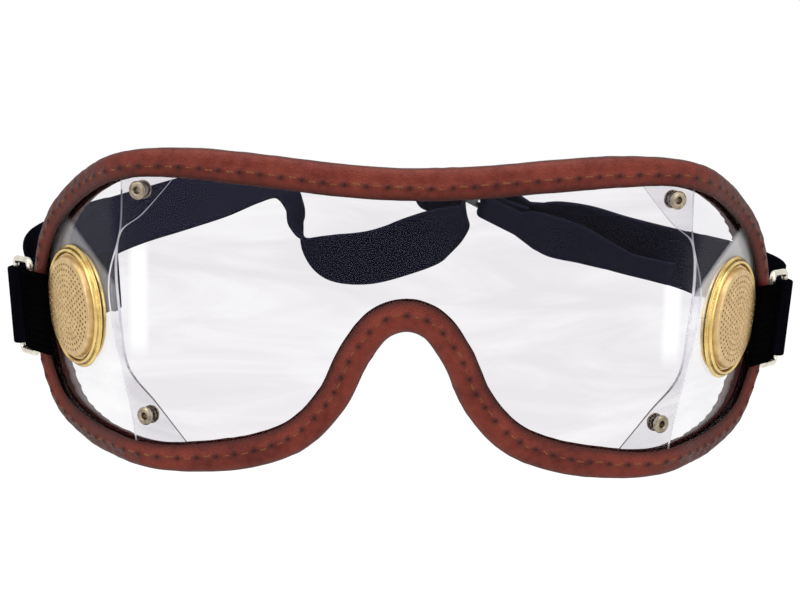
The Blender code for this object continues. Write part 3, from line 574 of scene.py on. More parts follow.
def make_leather():
    made, nodes = new_material("leather", (0.15, 0.03, 0.022), 0.5, Specular_IOR_Level=0.16)
    # leather_map: painted shade on the walls facing the lenses, painted shade in the stitch holes, painted
    # highlight along the outer edge
    inner, pressed, edge_highlight = nodes.channels("leather_map")
    broad, fine = nodes.noise(70, 3, 0.55), nodes.noise(420, 4, 0.6)
    color = nodes.mixed(nodes.ranged(broad, 0.35, 0.68), (0.088, 0.010, 0.006), (0.190, 0.030, 0.018))
    for share, layer in (
        (nodes.ranged(fine, 0.35, 0.7, 0.0, 0.5), (0.26, 0.052, 0.032)),
        # Painted highlight: greyish, along the binding's outer edge, stronger on the sides
        (nodes.product(edge_highlight, nodes.ranged(fine, 0.3, 0.7, 0.2, 0.8)), (0.28, 0.14, 0.12)),
        # Painted shade: darker at glancing angles, for the shade round the roll's curve
        (nodes.ranged(nodes.facing(), 0.25, 0.8, 0.0, 0.85), (0.030, 0.005, 0.003)),
        # Painted shade on the walls facing the lenses and on the leather's inside
        (nodes.product(inner, 0.9), (0.028, 0.005, 0.004)),
        # Painted shade in the stitch holes
        (nodes.product(pressed, 0.97), (0.006, 0.002, 0.002)),
    ):
        color = nodes.mixed(share, color, layer)
    edges = {"feature": "DISTANCE_TO_EDGE"}
    cells = nodes.add("ShaderNodeTexVoronoi", edges, Vector=nodes.where, Scale=1150.0)
    creases = nodes.ranged(cells.outputs["Distance"], 0.0, 0.22)
    grain = nodes.calculate("ADD", creases, nodes.product(nodes.noise(2600, 2), 0.35))
    normal = nodes.bump(grain, 0.09 * MM, 0.75)
    normal = nodes.bump(nodes.noise(260, 3, 0.6, 0.6), 0.5 * MM, 0.5, normal)
    nodes.shade(Base_Color=color, Normal=normal, Roughness=nodes.ranged(fine, 0.3, 0.75, 0.42, 0.62))
    return made


def make_thread():
    made, nodes = new_material("thread", (0.16, 0.06, 0.03), 0.8, Specular_IOR_Level=0.1)
    diagonal = {"bands_direction": "DIAGONAL"}
    twist = nodes.add("ShaderNodeTexWave", diagonal, Vector=nodes.where, Scale=900.0, Distortion=1.2)
    nodes.pattern(twist.outputs["Fac"], (0.13, 0.046, 0.021), (0.25, 0.105, 0.045), 0.08 * MM, 0.8)
    return made


def make_foam():
    made, nodes = new_material("foam", (0.06, 0.055, 0.05), 0.95)
    cells = nodes.add("ShaderNodeTexVoronoi", Vector=nodes.where, Scale=1800.0).outputs["Distance"]
    nodes.pattern(cells, (0.035, 0.032, 0.03), (0.09, 0.085, 0.08), 0.3 * MM, 0.8)
    return made


def make_moulded():
    made, nodes = new_material("slide_plastic", (0.012, 0.012, 0.014), 0.5, Specular_IOR_Level=0.15)
    grain = nodes.noise(1400)
    nodes.pattern(grain, (0.008, 0.008, 0.010), (0.016, 0.016, 0.019), 0.03 * MM, 0.6)
    nodes.shade(Roughness=nodes.ranged(grain, 0.3, 0.7, 0.42, 0.6))
    return made


def make_metal(name, dark, light, roughness, scale, dents):
    """Metal with a varied tone, fine scratches and soft dents."""
    made, nodes = new_material(name, light, roughness, Metallic=1.0)
    tone = nodes.ranged(nodes.noise(scale, 4, 0.6), 0.3, 0.7)
    scratches = nodes.noise(900, 3, 0.65, vector=nodes.stretched(1.0, 1.0, 14.0))
    scratched = nodes.bump(scratches, 0.02 * MM, 0.5)
    nodes.shade(
        Base_Color=nodes.mixed(tone, dark, light),
        Roughness=nodes.ranged(scratches, 0.3, 0.75, roughness * 0.8, roughness * 1.5),
        Normal=nodes.bump(nodes.noise(350, 2), dents, 0.6, scratched),
    )
    return made


def make_woven(name, dark, light, rib, pick, depth):
    """Woven tape: ribs along it and picks across it, from its own map of length and width."""
    made, nodes = new_material(name, light, 0.85, Specular_IOR_Level=0.0)
    along, across, _ = nodes.channels("tape_map")
    ribs = nodes.calculate("SINE", nodes.product(across, math.tau / rib))
    row = nodes.calculate("FLOOR", nodes.calculate("DIVIDE", across, rib / 2))
    odd = nodes.calculate("MODULO", nodes.distance(row), 2.0)
    phase = nodes.calculate("ADD", nodes.product(along, math.tau / pick), nodes.product(odd, math.pi))
    picks = nodes.calculate("SINE", phase)
    height = nodes.calculate("ADD", nodes.product(ribs, 0.5), nodes.product(picks, 0.5))
    lint = nodes.noise(1500, 3, 0.7)
    share = nodes.ranged(height, -1.0, 1.0, 0.1, 0.75)
    share = nodes.calculate("ADD", share, nodes.ranged(lint, 0.55, 0.8, 0.0, 0.3), clamp=True)
    worn = nodes.ranged(nodes.noise(90, 2), 0.3, 0.7, 0.6, 1.1)
    share = nodes.calculate("MULTIPLY", share, worn, clamp=True)
    # Painted shade: the tape blackens towards the rings, where the side lamps light it most
    ring_shade = nodes.ranged(nodes.distance(nodes.split(nodes.where)[0]), *painted_shade_by_ring, 0.0, 0.85)
    nodes.shade(
        Base_Color=nodes.mixed(ring_shade, nodes.mixed(share, dark, light), (0.001, 0.001, 0.001)),
        Normal=nodes.bump(lint, depth, 0.4, nodes.bump(height, depth, 0.8)),
    )
    return made


clear = make_clear("clear_plastic", (0.82, 0.80, 0.825), 1.13)
# The last pair is the painted reflection's amount on the left and the right
clear_side = make_clear("clear_plastic_side", (0.86, 0.85, 0.87), 1.2, (0.12, 0.42))
# The cut edges' painted light and shade: pale below on the lens, nearly black below on the side panels,
# greyer above on both
lens_rim = make_clear_rim("clear_plastic_rim", (0.90, 0.89, 0.92), (0.70, 0.70, 0.80), 0.4)
panel_rim = make_clear_rim("clear_plastic_side_rim", (0.04, 0.03, 0.03), (0.50, 0.50, 0.60), 0.85)
leather = make_leather()
thread = make_thread()
foam = make_foam()
brass = make_metal("brass", (0.52, 0.34, 0.10), (0.86, 0.65, 0.25), 0.26, 260, 0.06 * MM)
gauze = make_metal("brass_gauze", (0.50, 0.34, 0.15), (0.70, 0.51, 0.26), 0.42, 600, 0.10 * MM)
eyelet_metal = make_metal("eyelet_brass", (0.13, 0.10, 0.07), (0.45, 0.38, 0.28), 0.3, 700, 0.05 * MM)
wire = make_metal("wire", (0.55, 0.50, 0.40), (0.80, 0.75, 0.64), 0.24, 500, 0.03 * MM)
webbing = make_woven(
    "webbing", (0.0008, 0.0008, 0.0010), (0.0030, 0.0030, 0.0036), 1.6 * MM, 1.1 * MM, 0.14 * MM
)
elastic = make_woven(
    "elastic", (0.0095, 0.0098, 0.0205), (0.0150, 0.0155, 0.0310), 1.2 * MM, 0.8 * MM, 0.03 * MM
)
moulded = make_moulded()


# Mesh helpers


def turn_faces_out(mesh, weld=None):
    """Turn all faces outwards, after joining points closer than the weld distance."""
    work = bmesh.new()
    work.from_mesh(mesh)
    if weld is not None:
        bmesh.ops.remove_doubles(work, verts=work.verts, dist=weld)
    bmesh.ops.recalc_face_normals(work, faces=work.faces)
    work.to_mesh(mesh)
    work.free()


def add_mesh(name, verts, faces, materials, body="root", sharp=45, maps=None):
    """A piece from points and faces, smooth but for its sharp edges, riding on a body."""
    mesh = bpy.data.meshes.new(name)
    mesh.from_pydata([tuple(v) for v in verts], [], faces)
    mesh.validate()
    for material in materials:
        mesh.materials.append(material)
    for key, rows in (maps or {}).items():
        layer = mesh.attributes.new(key, "FLOAT_VECTOR", "POINT")
        layer.data.foreach_set("vector", np.array(rows, np.float32).ravel())
    turn_faces_out(mesh)
    mesh.shade_smooth()
    mesh.set_sharp_from_angle(angle=math.radians(sharp))
    made = add_object(name, mesh)
    if body is not None:
        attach(made, body)
    return made


def circle(x, y, radius, sides):
    turns = [math.tau * i / sides for i in range(sides)]
    return [(x + radius * math.cos(t), y + radius * math.sin(t)) for t in turns]


def corner_arcs(left, right, height, radius):
    """A rectangle with rounded corners, whose arcs have these places for their middles."""
    points = []
    for x, y, start in ((right, height, 0), (left, height, 90), (left, -height, 180), (right, -height, 270)):
        turns = [math.radians(start + 90 * i / 8) for i in range(9)]
        points += [(x + radius * math.cos(t), y + radius * math.sin(t)) for t in turns]
    return points


def tube_faces(rows, columns, closed_rows):
    """Faces between rings of points, each ring closed on itself, and caps at open ends."""
    faces = []
    for r in range(rows if closed_rows else rows - 1):
        here, there = r * columns, ((r + 1) % rows) * columns
        for c in range(columns):
            d = (c + 1) % columns
            faces.append((here + c, here + d, there + d, there + c))
    if not closed_rows:
        faces.append(tuple(range(columns))[::-1])
        faces.append(tuple((rows - 1) * columns + c for c in range(columns)))
    return faces


def add_tube(verts, faces, rings, sides):
    """Add a capped tube. Each ring has its middle and its two half axes."""
    base = len(verts)
    for middle, side, rise in rings:
        verts += [middle + side * c + rise * s for c, s in circle(0, 0, 1, sides)]
    faces += [tuple(base + i for i in f) for f in tube_faces(len(rings), sides, False)]


def lathe(name, profile, material, matrix, sides, replaces):
    """A closed profile of (radius, height) points, turned about Z."""
    verts = []
    for c, s in circle(0, 0, 1, sides):
        verts += [matrix @ Vector((r * c, r * s, h)) for r, h in profile]
    made = add_mesh(name, verts, tube_faces(sides, len(profile), True), [material], sharp=50)
    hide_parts(*replaces)


def rounded(points, radius, steps, closed=True):
    """A path of straight runs with its corners rounded off by at most the radius."""
    points = [Vector(p) for p in points]
    count = len(points)
    path = []
    for i in range(count):
        if not closed and i in (0, count - 1):
            path.append(points[i])
            continue
        before, corner, after = points[i - 1], points[i], points[(i + 1) % count]
        reach = min(radius, (corner - before).length / 2.01, (after - corner).length / 2.01)
        start = corner + (before - corner).normalized() * reach
        end = corner + (after - corner).normalized() * reach
        for j in range(steps + 1):
            t = j / steps
            path.append(start * (1 - t) ** 2 + corner * 2 * t * (1 - t) + end * t**2)
    return path


def inside(points, loop):
    """Which of the points lie inside a closed loop."""
    x, y = points[:, 0], points[:, 1]
    result = np.zeros(len(points), bool)
    for (x0, y0), (x1, y1) in zip(loop, np.roll(loop, -1, axis=0)):
        hit = (y0 > y) != (y1 > y)
        with np.errstate(divide="ignore", invalid="ignore"):
            result ^= hit & (x < (x1 - x0) * (y - y0) / (y1 - y0) + x0)
    return result


def clearance(points, loop):
    """Least distance of each point from a loop's edges."""
    best = np.full(len(points), np.inf)
    for a, b in zip(loop, np.roll(loop, -1, axis=0)):
        d = b - a
        t = np.clip(((points - a) @ d) / max(d @ d, 1e-18), 0, 1)
        best = np.minimum(best, np.linalg.norm(points - (a + t[:, None] * d), axis=1))
    return best


def flat_mesh(outer, holes, spacing, rings=()):
    """Points and triangles inside a loop and outside its holes, with edges on the rings."""
    lines = [np.array([tuple(p)[:2] for p in line]) for line in (outer, *holes, *rings)]

    def within(points):
        keep = inside(points, lines[0])
        for hole in lines[1 : len(holes) + 1]:
            keep &= ~inside(points, hole)
        return keep

    low, high = lines[0].min(0), lines[0].max(0)
    xs = np.arange(low[0] + spacing / 2, high[0], spacing)
    ys = np.arange(low[1] + spacing / 2, high[1], spacing)
    grid = np.array([(x + (spacing / 2 if j % 2 else 0), y) for j, y in enumerate(ys) for x in xs])
    grid = grid[within(grid)]
    points, edges = [], []
    for line in lines:
        grid = grid[clearance(grid, line) > spacing * 0.45]
        base = len(points)
        points += [Vector(p) for p in line]
        edges += [(base + i, base + (i + 1) % len(line)) for i in range(len(line))]
    points += [Vector(p) for p in grid]
    found = geometry.delaunay_2d_cdt(points, edges, [], 0, 1e-9)
    verts, faces = np.array([tuple(v) for v in found[0]]), [tuple(f) for f in found[2]]
    keep = within(np.array([verts[list(f)].mean(0) for f in faces]))
    return verts, [f for f, k in zip(faces, keep) if k]


def solid_sheet(name, flat, bend, thickness, materials, replaces, sharp=45):
    """A flat mesh bent by a function of (x, y, height), with its thickness and a rim.

    A second material is that of the rim.
    """
    verts, faces = flat
    count = len(verts)
    points = [bend(x, y, level) for level in (thickness / 2, -thickness / 2) for x, y in verts]
    edges = dict.fromkeys((a, b) for face in faces for a, b in zip(face, face[1:] + face[:1]))
    whole = faces + [tuple(i + count for i in f[::-1]) for f in faces]
    top = len(whole)
    whole += [(b, a, a + count, b + count) for a, b in edges if (b, a) not in edges]
    made = add_mesh(name, points, whole, materials, sharp=sharp)
    for polygon in made.data.polygons[top:]:
        polygon.material_index = len(materials) - 1
    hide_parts(*replaces)


# Clear sheets


def make_sheets():
    bore = eyelet_barrel_radius + gap
    holes = [circle(s, z, bore, 24) for s, z in eyelet_places.values()]
    mirrored = [[(-x, y) for x, y in hole] for hole in holes]
    lens = flat_mesh(lens_pattern(), [*holes, *mirrored], lens_spacing)
    solid_sheet(
        "front_lens_sheet", lens, wrap, sheet_thickness,
        [clear, lens_rim], ["front_lens"],
    )
    vent_hole = circle(*vent_place, vent_barrel_radius + gap, 60)
    verts, faces = flat_mesh(panel_pattern(), [*holes, vent_hole], panel_spacing)
    for side, hand in hands:
        panel = (verts * (side, 1), faces if side > 0 else [f[::-1] for f in faces])
        solid_sheet(
            f"side_panel_sheet_{hand}", panel, lambda x, y, n: wrap(x, y, panel_offset + n),
            sheet_thickness, [clear_side, panel_rim], [f"side_panel_{hand}"],
        )


def make_eyelets():
    over = sheet_thickness / 2 + gap
    under = panel_offset - sheet_thickness / 2 - gap
    washer_back = under - eyelet_washer_thickness
    curl_front = washer_back - gap
    back = curl_front - eyelet_curl
    flange, barrel, bore = eyelet_flange_radius, eyelet_barrel_radius, eyelet_bore_radius
    eyelet = (
        (flange, over), (barrel, over), (barrel, curl_front), (barrel + eyelet_curl, curl_front),
        (barrel + eyelet_curl, back), (bore, back), (bore, over + eyelet_throat_height),
        (bore + eyelet_lip_inset, over + eyelet_lip_height),
        ((barrel + flange) / 2, over + eyelet_dome_height), (flange, over + eyelet_edge_height),
    )
    washer = ((flange, under), (flange, washer_back), (barrel + gap, washer_back), (barrel + gap, under))
    turnings = (
        ("eyelet_turned", rounded(eyelet, eyelet_rounding, 3), "eyelet"),
        ("washer_turned", rounded(washer, washer_rounding, 3), "eyelet_washer"),
    )
    for side, hand in hands:
        for level, (s, z) in eyelet_places.items():
            place, where = surface_frame(side * s, z), f"{level}_{hand}"
            for name, profile, node in turnings:
                lathe(f"{name}_{where}", profile, eyelet_metal, place, 40, [f"{node}_{where}"])


# Leather binding

stitch_share = 0.44  # of the binding's width, from the lens side
stitch_pitch = 4.4 * MM
stations_per_stitch = 6
nose_reach = 20.0 * MM  # the stitches lie closer over the nose
nose_crowding = 0.28
front_start = channel_middle + 0.3 * MM  # the front's grooves and holes lie above this
back_start = channel_bottom - 0.4 * MM  # and the back's below this
front_groove = 0.34 * MM
front_groove_width = 0.62 * MM
back_groove = 1.1 * MM
back_groove_width = 0.95 * MM
foam_groove = back_groove * 1.1
hole_depth = 0.3 * MM
pucker = 0.16 * MM
pucker_width = 1.1 * MM
pucker_place = 1.4 * MM  # from the stitches, towards the edge
ripple_depth = 0.035 * MM
ripple_rows = 7
# The painted highlight along the binding's outer edge grows from here towards the sides
highlight_start = 70.0 * MM
highlight_run = 12.0 * MM
thread_lift = 0.12 * MM
thread_rise = 0.02 * MM
thread_sink = 0.34 * MM
thread_lean = 0.10
thread_radii = (0.18, 0.22)


def bell(x, width):
    return np.exp(-((x / width) ** 2))


def binding_width(s):
    share = min(max((abs(s) - narrowing_start) / (narrowing_end - narrowing_start), 0), 1)
    share = share * share * (3 - 2 * share)
    return binding_front_width + (binding_side_width - binding_front_width) * share


def oval_reach(above, inset):
    """How far the binding's section reaches from the channel's middle, above it or below."""
    return (front_crown - channel_middle if above else back_crown + channel_middle) - inset


def oval_turn(height, inset):
    """The turn, near the lens, at which the section is at a height."""
    share = abs(height - channel_middle) / oval_reach(height > channel_middle, inset)
    return math.pi - math.asin(min(share, 1.0) ** (leather_roundness / 2))


def oval_points(width, inset, first, last, count):
    """Points of the binding's section between two turns, inset from its outside."""
    half = width / 2 - inset
    centre = binding_overhang - width / 2
    power = 2 / leather_roundness
    points = []
    for i in range(count):
        turn = first + (last - first) * i / (count - 1)
        c, s = math.cos(turn), math.sin(turn)
        rise = oval_reach(turn > 0, inset) * math.copysign(abs(s) ** power, s)
        points.append((centre + half * math.copysign(abs(c) ** power, c), channel_middle + rise))
    return np.array(points)


def contour(width, inset, samples, count):
    """Even points from the lens side of the front, round the edge to the lens side of the back."""
    first, last = oval_turn(channel_top, inset), -oval_turn(channel_bottom, inset)
    points = oval_points(width, inset, first, last, samples)
    steps = np.concatenate(([0], np.cumsum(np.linalg.norm(np.diff(points, axis=0), axis=1))))
    at = np.linspace(0, steps[-1], count)
    return np.stack([np.interp(at, steps, points[:, k]) for k in range(2)], 1)


def edge_station(line, i):
    """Place, normal, outward direction and binding's width at a point of a closed (s, z) line."""
    s, z = line[i]
    place = surface_frame(s, z)
    normal = place.col[2].xyz
    along = wrap(*line[(i + 1) % len(line)]) - wrap(*line[i - 1])
    return place.translation, normal, normal.cross(along).normalized(), binding_width(s)


def binding_line():
    """Even (s, z) points round the binding, some for each stitch, and the number of stitches."""
    fine = window_outline(24)
    places = np.array([tuple(wrap(*p)) for p in fine])
    steps = np.linalg.norm(np.roll(places, -1, axis=0) - places, axis=1)
    nose = np.array([math.exp(-((p[0] / nose_reach) ** 2)) if p[1] < 0 else 0.0 for p in fine])
    run = np.concatenate(([0], np.cumsum(steps * (1 + nose_crowding * nose))))
    stitches = round(run[-1] / stitch_pitch)
    at = np.linspace(0, run[-1], stitches * stations_per_stitch, endpoint=False)
    closed = np.array([tuple(p) for p in fine] + [tuple(fine[0])])
    return np.stack([np.interp(at, run, closed[:, k]) for k in range(2)], 1), stitches


def soft_noise(count, size, seed):
    """Smooth closed noise of about one bump in each size stations."""
    generator = np.random.default_rng(seed)
    knots = max(4, round(count / size))
    values = generator.normal(0, 1, knots)
    at = np.arange(count) * knots / count
    low = np.floor(at).astype(int)
    t = at - low
    t = t * t * (3 - 2 * t)
    return values[low % knots] * (1 - t) + values[(low + 1) % knots] * t


def make_binding():
    line, stitches = binding_line()
    count = len(line)
    outer_points, inner_points = 52, 20
    swell = (soft_noise(count, 14, 3) * 0.05 + soft_noise(count, 5, 4) * 0.025) * MM
    sway = (soft_noise(count, 9, 5) * 0.05 + soft_noise(count, 3, 6) * 0.02) * MM
    ripple = np.array([soft_noise(count, 2.4, 20 + k) for k in range(ripple_rows)])
    verts, marks, front_seam, back_seam = [], [], [], []
    for i in range(count):
        place, normal, outward, width = edge_station(line, i)
        stitch_u = binding_overhang - width * (1 - stitch_share) + sway[i]
        phase = (i % stations_per_stitch) / stations_per_stitch
        phase = min(phase, 1 - phase) * 2  # 0 at a hole, 1 midway between two
        opening = min(max(1.3 - phase * 2.7, 0), 1)
        by_side = min(max((abs(place.x) - highlight_start) / highlight_run, 0), 1)
        outer = contour(width, 0, 120, outer_points)
        inner = contour(width, leather_thickness, 80, inner_points)[::-1]
        for points, sign in ((outer, 1), (inner, -1)):
            tangent = np.gradient(points, axis=0) * sign
            across = np.stack([-tangent[:, 1], tangent[:, 0]], 1)
            across /= np.linalg.norm(across, axis=1)[:, None] + 1e-12
            u, n = points[:, 0], points[:, 1]
            on_front = n > front_start
            on_back = n < back_start
            near = u - stitch_u
            depth = np.where(on_front, front_groove * bell(near, front_groove_width), 0)
            depth += np.where(on_back, back_groove * bell(near, back_groove_width), 0)
            # hole also darkens the leather's colour there: painted shade in the stitch holes
            hole = np.where(on_front | on_back, bell(near, front_groove_width) * opening, 0)
            push = pucker * (phase - 0.5) * bell(near - pucker_place, pucker_width)
            push = np.where(on_front, push, 0)
            push += swell[i] * bell(u - (binding_overhang - width * 0.42), width * 0.4)
            if sign > 0:
                level = (n + back_crown) / (front_crown + back_crown) * (ripple_rows - 1)
                level = np.clip(level, 0, ripple_rows - 1.01)
                low = level.astype(int)
                share = level - low
                push += (ripple[low, i] * (1 - share) + ripple[low + 1, i] * share) * ripple_depth
                depth += hole_depth * hole
            moved = points + across * (depth - push)[:, None]
            verts += [place + outward * pu + normal * pn for pu, pn in moved]
            if sign < 0:
                # The leather's inside is marked as fully in painted shade
                marks += [(1.0, 0.0, 0.0)] * len(points)
                continue
            fold = np.linspace(0, 1, len(points))
            # wall: painted shade on the walls facing the lenses, at both ends of the section
            wall = np.clip((fold - 0.78) / 0.1, 0, 1) + bell(fold, 0.07)
            # Third mark: the painted highlight along the outer edge, stronger on the sides
            marks += zip(wall, hole, bell(fold - 0.40, 0.07) * (0.25 + 0.75 * by_side))
            for there, seam in ((on_front, front_seam), (on_back, back_seam)):
                index = int(np.argmin(np.where(there, abs(near), 1)))
                pu, pn = moved[index] - across[index] * thread_lift
                seam.append((place + outward * pu + normal * pn, normal))
    made = add_mesh(
        "binding_leather", verts, tube_faces(count, outer_points + inner_points, True),
        [leather], sharp=75, maps={"leather_map": marks},
    )
    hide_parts("leather_binding")
    make_stitches("binding_stitches_front", front_seam, stitches, 1)
    make_stitches("binding_stitches_back", back_seam, stitches, -1)


def make_stitches(name, seam, stitches, sign):
    """A short length of thread from each hole to the next, sunk at its ends."""
    verts, faces = [], []
    last = 6
    for k in range(stitches):
        lean = random.uniform(-thread_lean, thread_lean) * MM
        thick = random.uniform(*thread_radii) * MM
        path = []
        for j in range(last + 1):
            at = (0.16 + 0.68 * j / last) * stations_per_stitch
            low = k * stations_per_stitch + int(at)
            a, b = seam[low % len(seam)], seam[(low + 1) % len(seam)]
            path.append((a[0].lerp(b[0], at - int(at)), a[1].lerp(b[1], at - int(at)).normalized()))
        rings = []
        for j, (place, normal) in enumerate(path):
            along = (path[min(j + 1, last)][0] - path[max(j - 1, 0)][0]).normalized()
            side = along.cross(normal).normalized()
            rise = side.cross(along)
            if rise.dot(normal) < 0:
                rise = -rise
            end = abs(j / last * 2 - 1)
            radius = thick * (1 - 0.35 * end**4)
            sunk = rise * (thread_rise - thread_sink * end**3) * sign
            rings.append((place + side * lean * (1 - end) + sunk, side * radius, rise * radius * 0.8))
        add_tube(verts, faces, rings, 8)
    add_mesh(name, verts, faces, [thread], sharp=80)


def make_foam_roll():
    """The foam inside the leather, with the seam's groove pressed into it."""
    line = window_outline(6)
    inset = leather_thickness + gap
    last = oval_turn(channel_bottom, inset)
    verts = []
    for i in range(len(line)):
        place, normal, outward, width = edge_station(line, i)
        stitch_u = binding_overhang - width * (1 - stitch_share)
        section = oval_points(width, inset, last - math.pi, -last, 22)
        for u, n in section:
            press = foam_groove * float(bell(u - stitch_u, back_groove_width))
            press = max(min(press, channel_bottom - n), 0)
            verts.append(place + outward * u + normal * (n + press))
    faces = tube_faces(len(line), len(section), True)
    made = add_mesh("foam_roll", verts, faces, [foam], sharp=60)
    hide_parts("foam_core")


# Vents


def dished(x, y, n):
    """The screen's pressed shape: flat round its foot, with a wall and a crown."""
    r = math.hypot(x, y)
    rise = min(max((vent_screen_radius - r) / vent_screen_wall, 0), 1)
    rise = 1 - (1 - rise) ** 3
    crown = vent_screen_crown * (1 - min(r / vent_screen_radius, 1) ** 2)
    height = vent_screen_height - vent_screen_thickness + crown
    return Vector((x, y, vent_screen_thickness / 2 + n + height * rise))


def flat_screen():
    punched = [circle(0, 0, vent_hole_radius, 8)]
    for ring in range(1, vent_hole_rings + 1):
        for i in range(6 * ring):
            turn = math.tau * (i + 0.5 * (ring % 2)) / (6 * ring)
            x, y = ring * vent_hole_pitch * math.cos(turn), ring * vent_hole_pitch * math.sin(turn)
            punched.append(circle(x, y, vent_hole_radius, 8))
    walls = [circle(0, 0, vent_screen_radius - vent_screen_wall * step / 7, 96) for step in range(8)]
    return flat_mesh(circle(0, 0, vent_rim_inner_radius - gap, 96), punched, screen_spacing, walls)


def make_vents():
    seat = panel_offset + sheet_thickness / 2 + gap
    floor = seat + vent_flange_thickness
    top = floor + vent_rim_height
    back = panel_offset - sheet_thickness / 2 - gap
    ring_back = back - vent_backing_thickness
    curl_front = ring_back - gap
    curl_back = curl_front - vent_barrel_curl
    barrel, flange = vent_barrel_radius, vent_flange_radius
    rim, rim_inner, edge = vent_rim_radius, vent_rim_inner_radius, vent_rim_edge
    bezel = (
        (flange, seat), (barrel, seat), (barrel, curl_front), (barrel + vent_barrel_curl, curl_front),
        (barrel + vent_barrel_curl, curl_back), (barrel - vent_barrel_wall, curl_back),
        (barrel - vent_barrel_wall, floor), (rim_inner, floor), (rim_inner, top - edge),
        (rim_inner + edge, top + vent_rim_crown), (rim - edge, top + vent_rim_crown),
        (rim, top - edge), (rim, floor), (flange, seat + vent_flange_thickness / 2),
    )
    bezel = rounded(bezel, vent_bezel_rounding, 4)
    outer, inner = vent_backing_radius, barrel + gap
    backing = ((outer, back), (outer, ring_back), (inner, ring_back), (inner, back))
    backing = rounded(backing, vent_backing_rounding, 3)
    screen = flat_screen()
    for side, hand in hands:
        place = surface_frame(side * vent_place[0], vent_place[1])
        lathe(f"vent_bezel_turned_{hand}", bezel, brass, place, 96, [f"vent_bezel_{hand}"])
        lathe(f"vent_backing_turned_{hand}", backing, brass, place, 72, [f"vent_backing_ring_{hand}"])
        on_floor = place @ Matrix.Translation((0, 0, floor + gap))
        solid_sheet(
            f"vent_screen_pressed_{hand}", screen, lambda x, y, n, on=on_floor: on @ dished(x, y, n),
            vent_screen_thickness, [gauze], [f"vent_screen_{hand}"], 50,
        )


# Webbing

# Width, thickness, material, slot and points across a face
webbing_tape = (webbing_width, webbing_thickness, webbing, "webbing", 10)
elastic_tape = (strap_width, strap_thickness, elastic, "elastic", 14)
tab_seam_inset = 1.6 * MM
tab_seam_start = 1.2 * MM
tab_seam_end = 1.4 * MM
tab_stitch_pitch = 2.1 * MM
tab_stitch_radius = 0.19 * MM


def tape_rows(stations):
    """The middle, the direction across, the normal and the length so far at each station."""
    rows, run = [], 0.0
    for i, (middle, across) in enumerate(stations):
        before, after = stations[max(i - 1, 0)][0], stations[min(i + 1, len(stations) - 1)][0]
        along = (after - before).normalized()
        across = (across - along * across.dot(along)).normalized()
        if i:
            run += (middle - stations[i - 1][0]).length
        rows.append((middle, across, along.cross(across), run))
    return rows


def tape(name, rows, kind, body="root"):
    """Tape with rounded edges along rows of tape_rows."""
    width, thickness, material, slot, sides = kind
    half = thickness / 2
    reach = width / 2 - half
    edge_steps = 6
    section = []
    for sign in (1, -1):
        section += [(sign * reach * (1 - 2 * c / sides), sign * half) for c in range(sides + 1)]
        for e in range(1, edge_steps):
            turn = math.pi / 2 - math.pi * e / edge_steps
            section.append((-sign * (reach + half * math.cos(turn)), sign * half * math.sin(turn)))
    verts, marks = [], []
    for middle, across, normal, run in rows:
        verts += [middle + across * x + normal * n for x, n in section]
        marks += [(run, x, n) for x, n in section]
    faces = tube_faces(len(rows), len(section), False)
    return add_mesh(name, verts, faces, [material], body, 60, {"tape_map": marks})


def sew(name, path, normal):
    """Stitches laid along a path on the face of a tab."""
    steps = [0.0]
    for a, b in zip(path, path[1:]):
        steps.append(steps[-1] + (b - a).length)

    def at(distance):
        k = int(np.clip(np.searchsorted(steps, distance) - 1, 0, len(path) - 2))
        return path[k].lerp(path[k + 1], (distance - steps[k]) / (steps[k + 1] - steps[k]))

    verts, faces = [], []
    radius = tab_stitch_radius
    for s in range(int(steps[-1] / tab_stitch_pitch)):
        row = [at((s + 0.1 + 0.8 * j / 4) * tab_stitch_pitch) for j in range(5)]
        rings = []
        for j, place in enumerate(row):
            along = (row[min(j + 1, 4)] - row[max(j - 1, 0)]).normalized()
            lift = normal * radius * (0.9 - 1.8 * abs(j / 2 - 1) ** 3)
            rings.append((place + lift, along.cross(normal).normalized() * radius, normal * radius))
        add_tube(verts, faces, rings, 6)
    add_mesh(name, verts, faces, [webbing], sharp=80)


def make_tab(side, hand):
    """Webbing folded round the ring's first bar, sewn over the binding by two rows of thread."""
    place = side_frame(side, half_girth, -tab_drop)
    half = webbing_thickness / 2
    outer = front_crown + gap + half
    inner = -(back_crown + gap + half)
    radius = ring_wire_radius + gap + half
    shoulder = binding_overhang + gap
    bar = ring_bar_reach
    path = (
        (-tab_outer_reach, outer), (shoulder, outer), (bar, radius), (bar + radius, radius),
        (bar + radius, -radius), (bar, -radius), (shoulder, inner), (-tab_inner_reach, inner),
    )
    across, normal = place.col[1].xyz, place.col[2].xyz
    points = [place @ Vector((out, 0, n)) for out, n in path]
    rows = tape_rows([(p, across) for p in rounded(points, radius, 8, closed=False)])
    made = tape(f"tab_webbing_{hand}", rows, webbing_tape)
    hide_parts(f"webbing_tab_{hand}")
    reach = webbing_width / 2 - tab_seam_inset
    left, right = tab_seam_start - tab_outer_reach, shoulder - tab_seam_end
    box = ((left, -reach), (left, reach), (right, reach), (right, -reach), (left, -reach))
    for row, height, sign in (("outer", outer + half, 1), ("inner", inner - half, -1)):
        path = [place @ Vector((x, y, height)) for x, y in box]
        sew(f"tab_thread_{row}_{hand}", path, normal * sign)


def ring_frame(side, out=0.0):
    """On the middle of the ring's first bar, or further out."""
    bar = Matrix.Translation((ring_bar_reach + out, 0, 0))
    return side_frame(side, half_girth, -tab_drop) @ bar


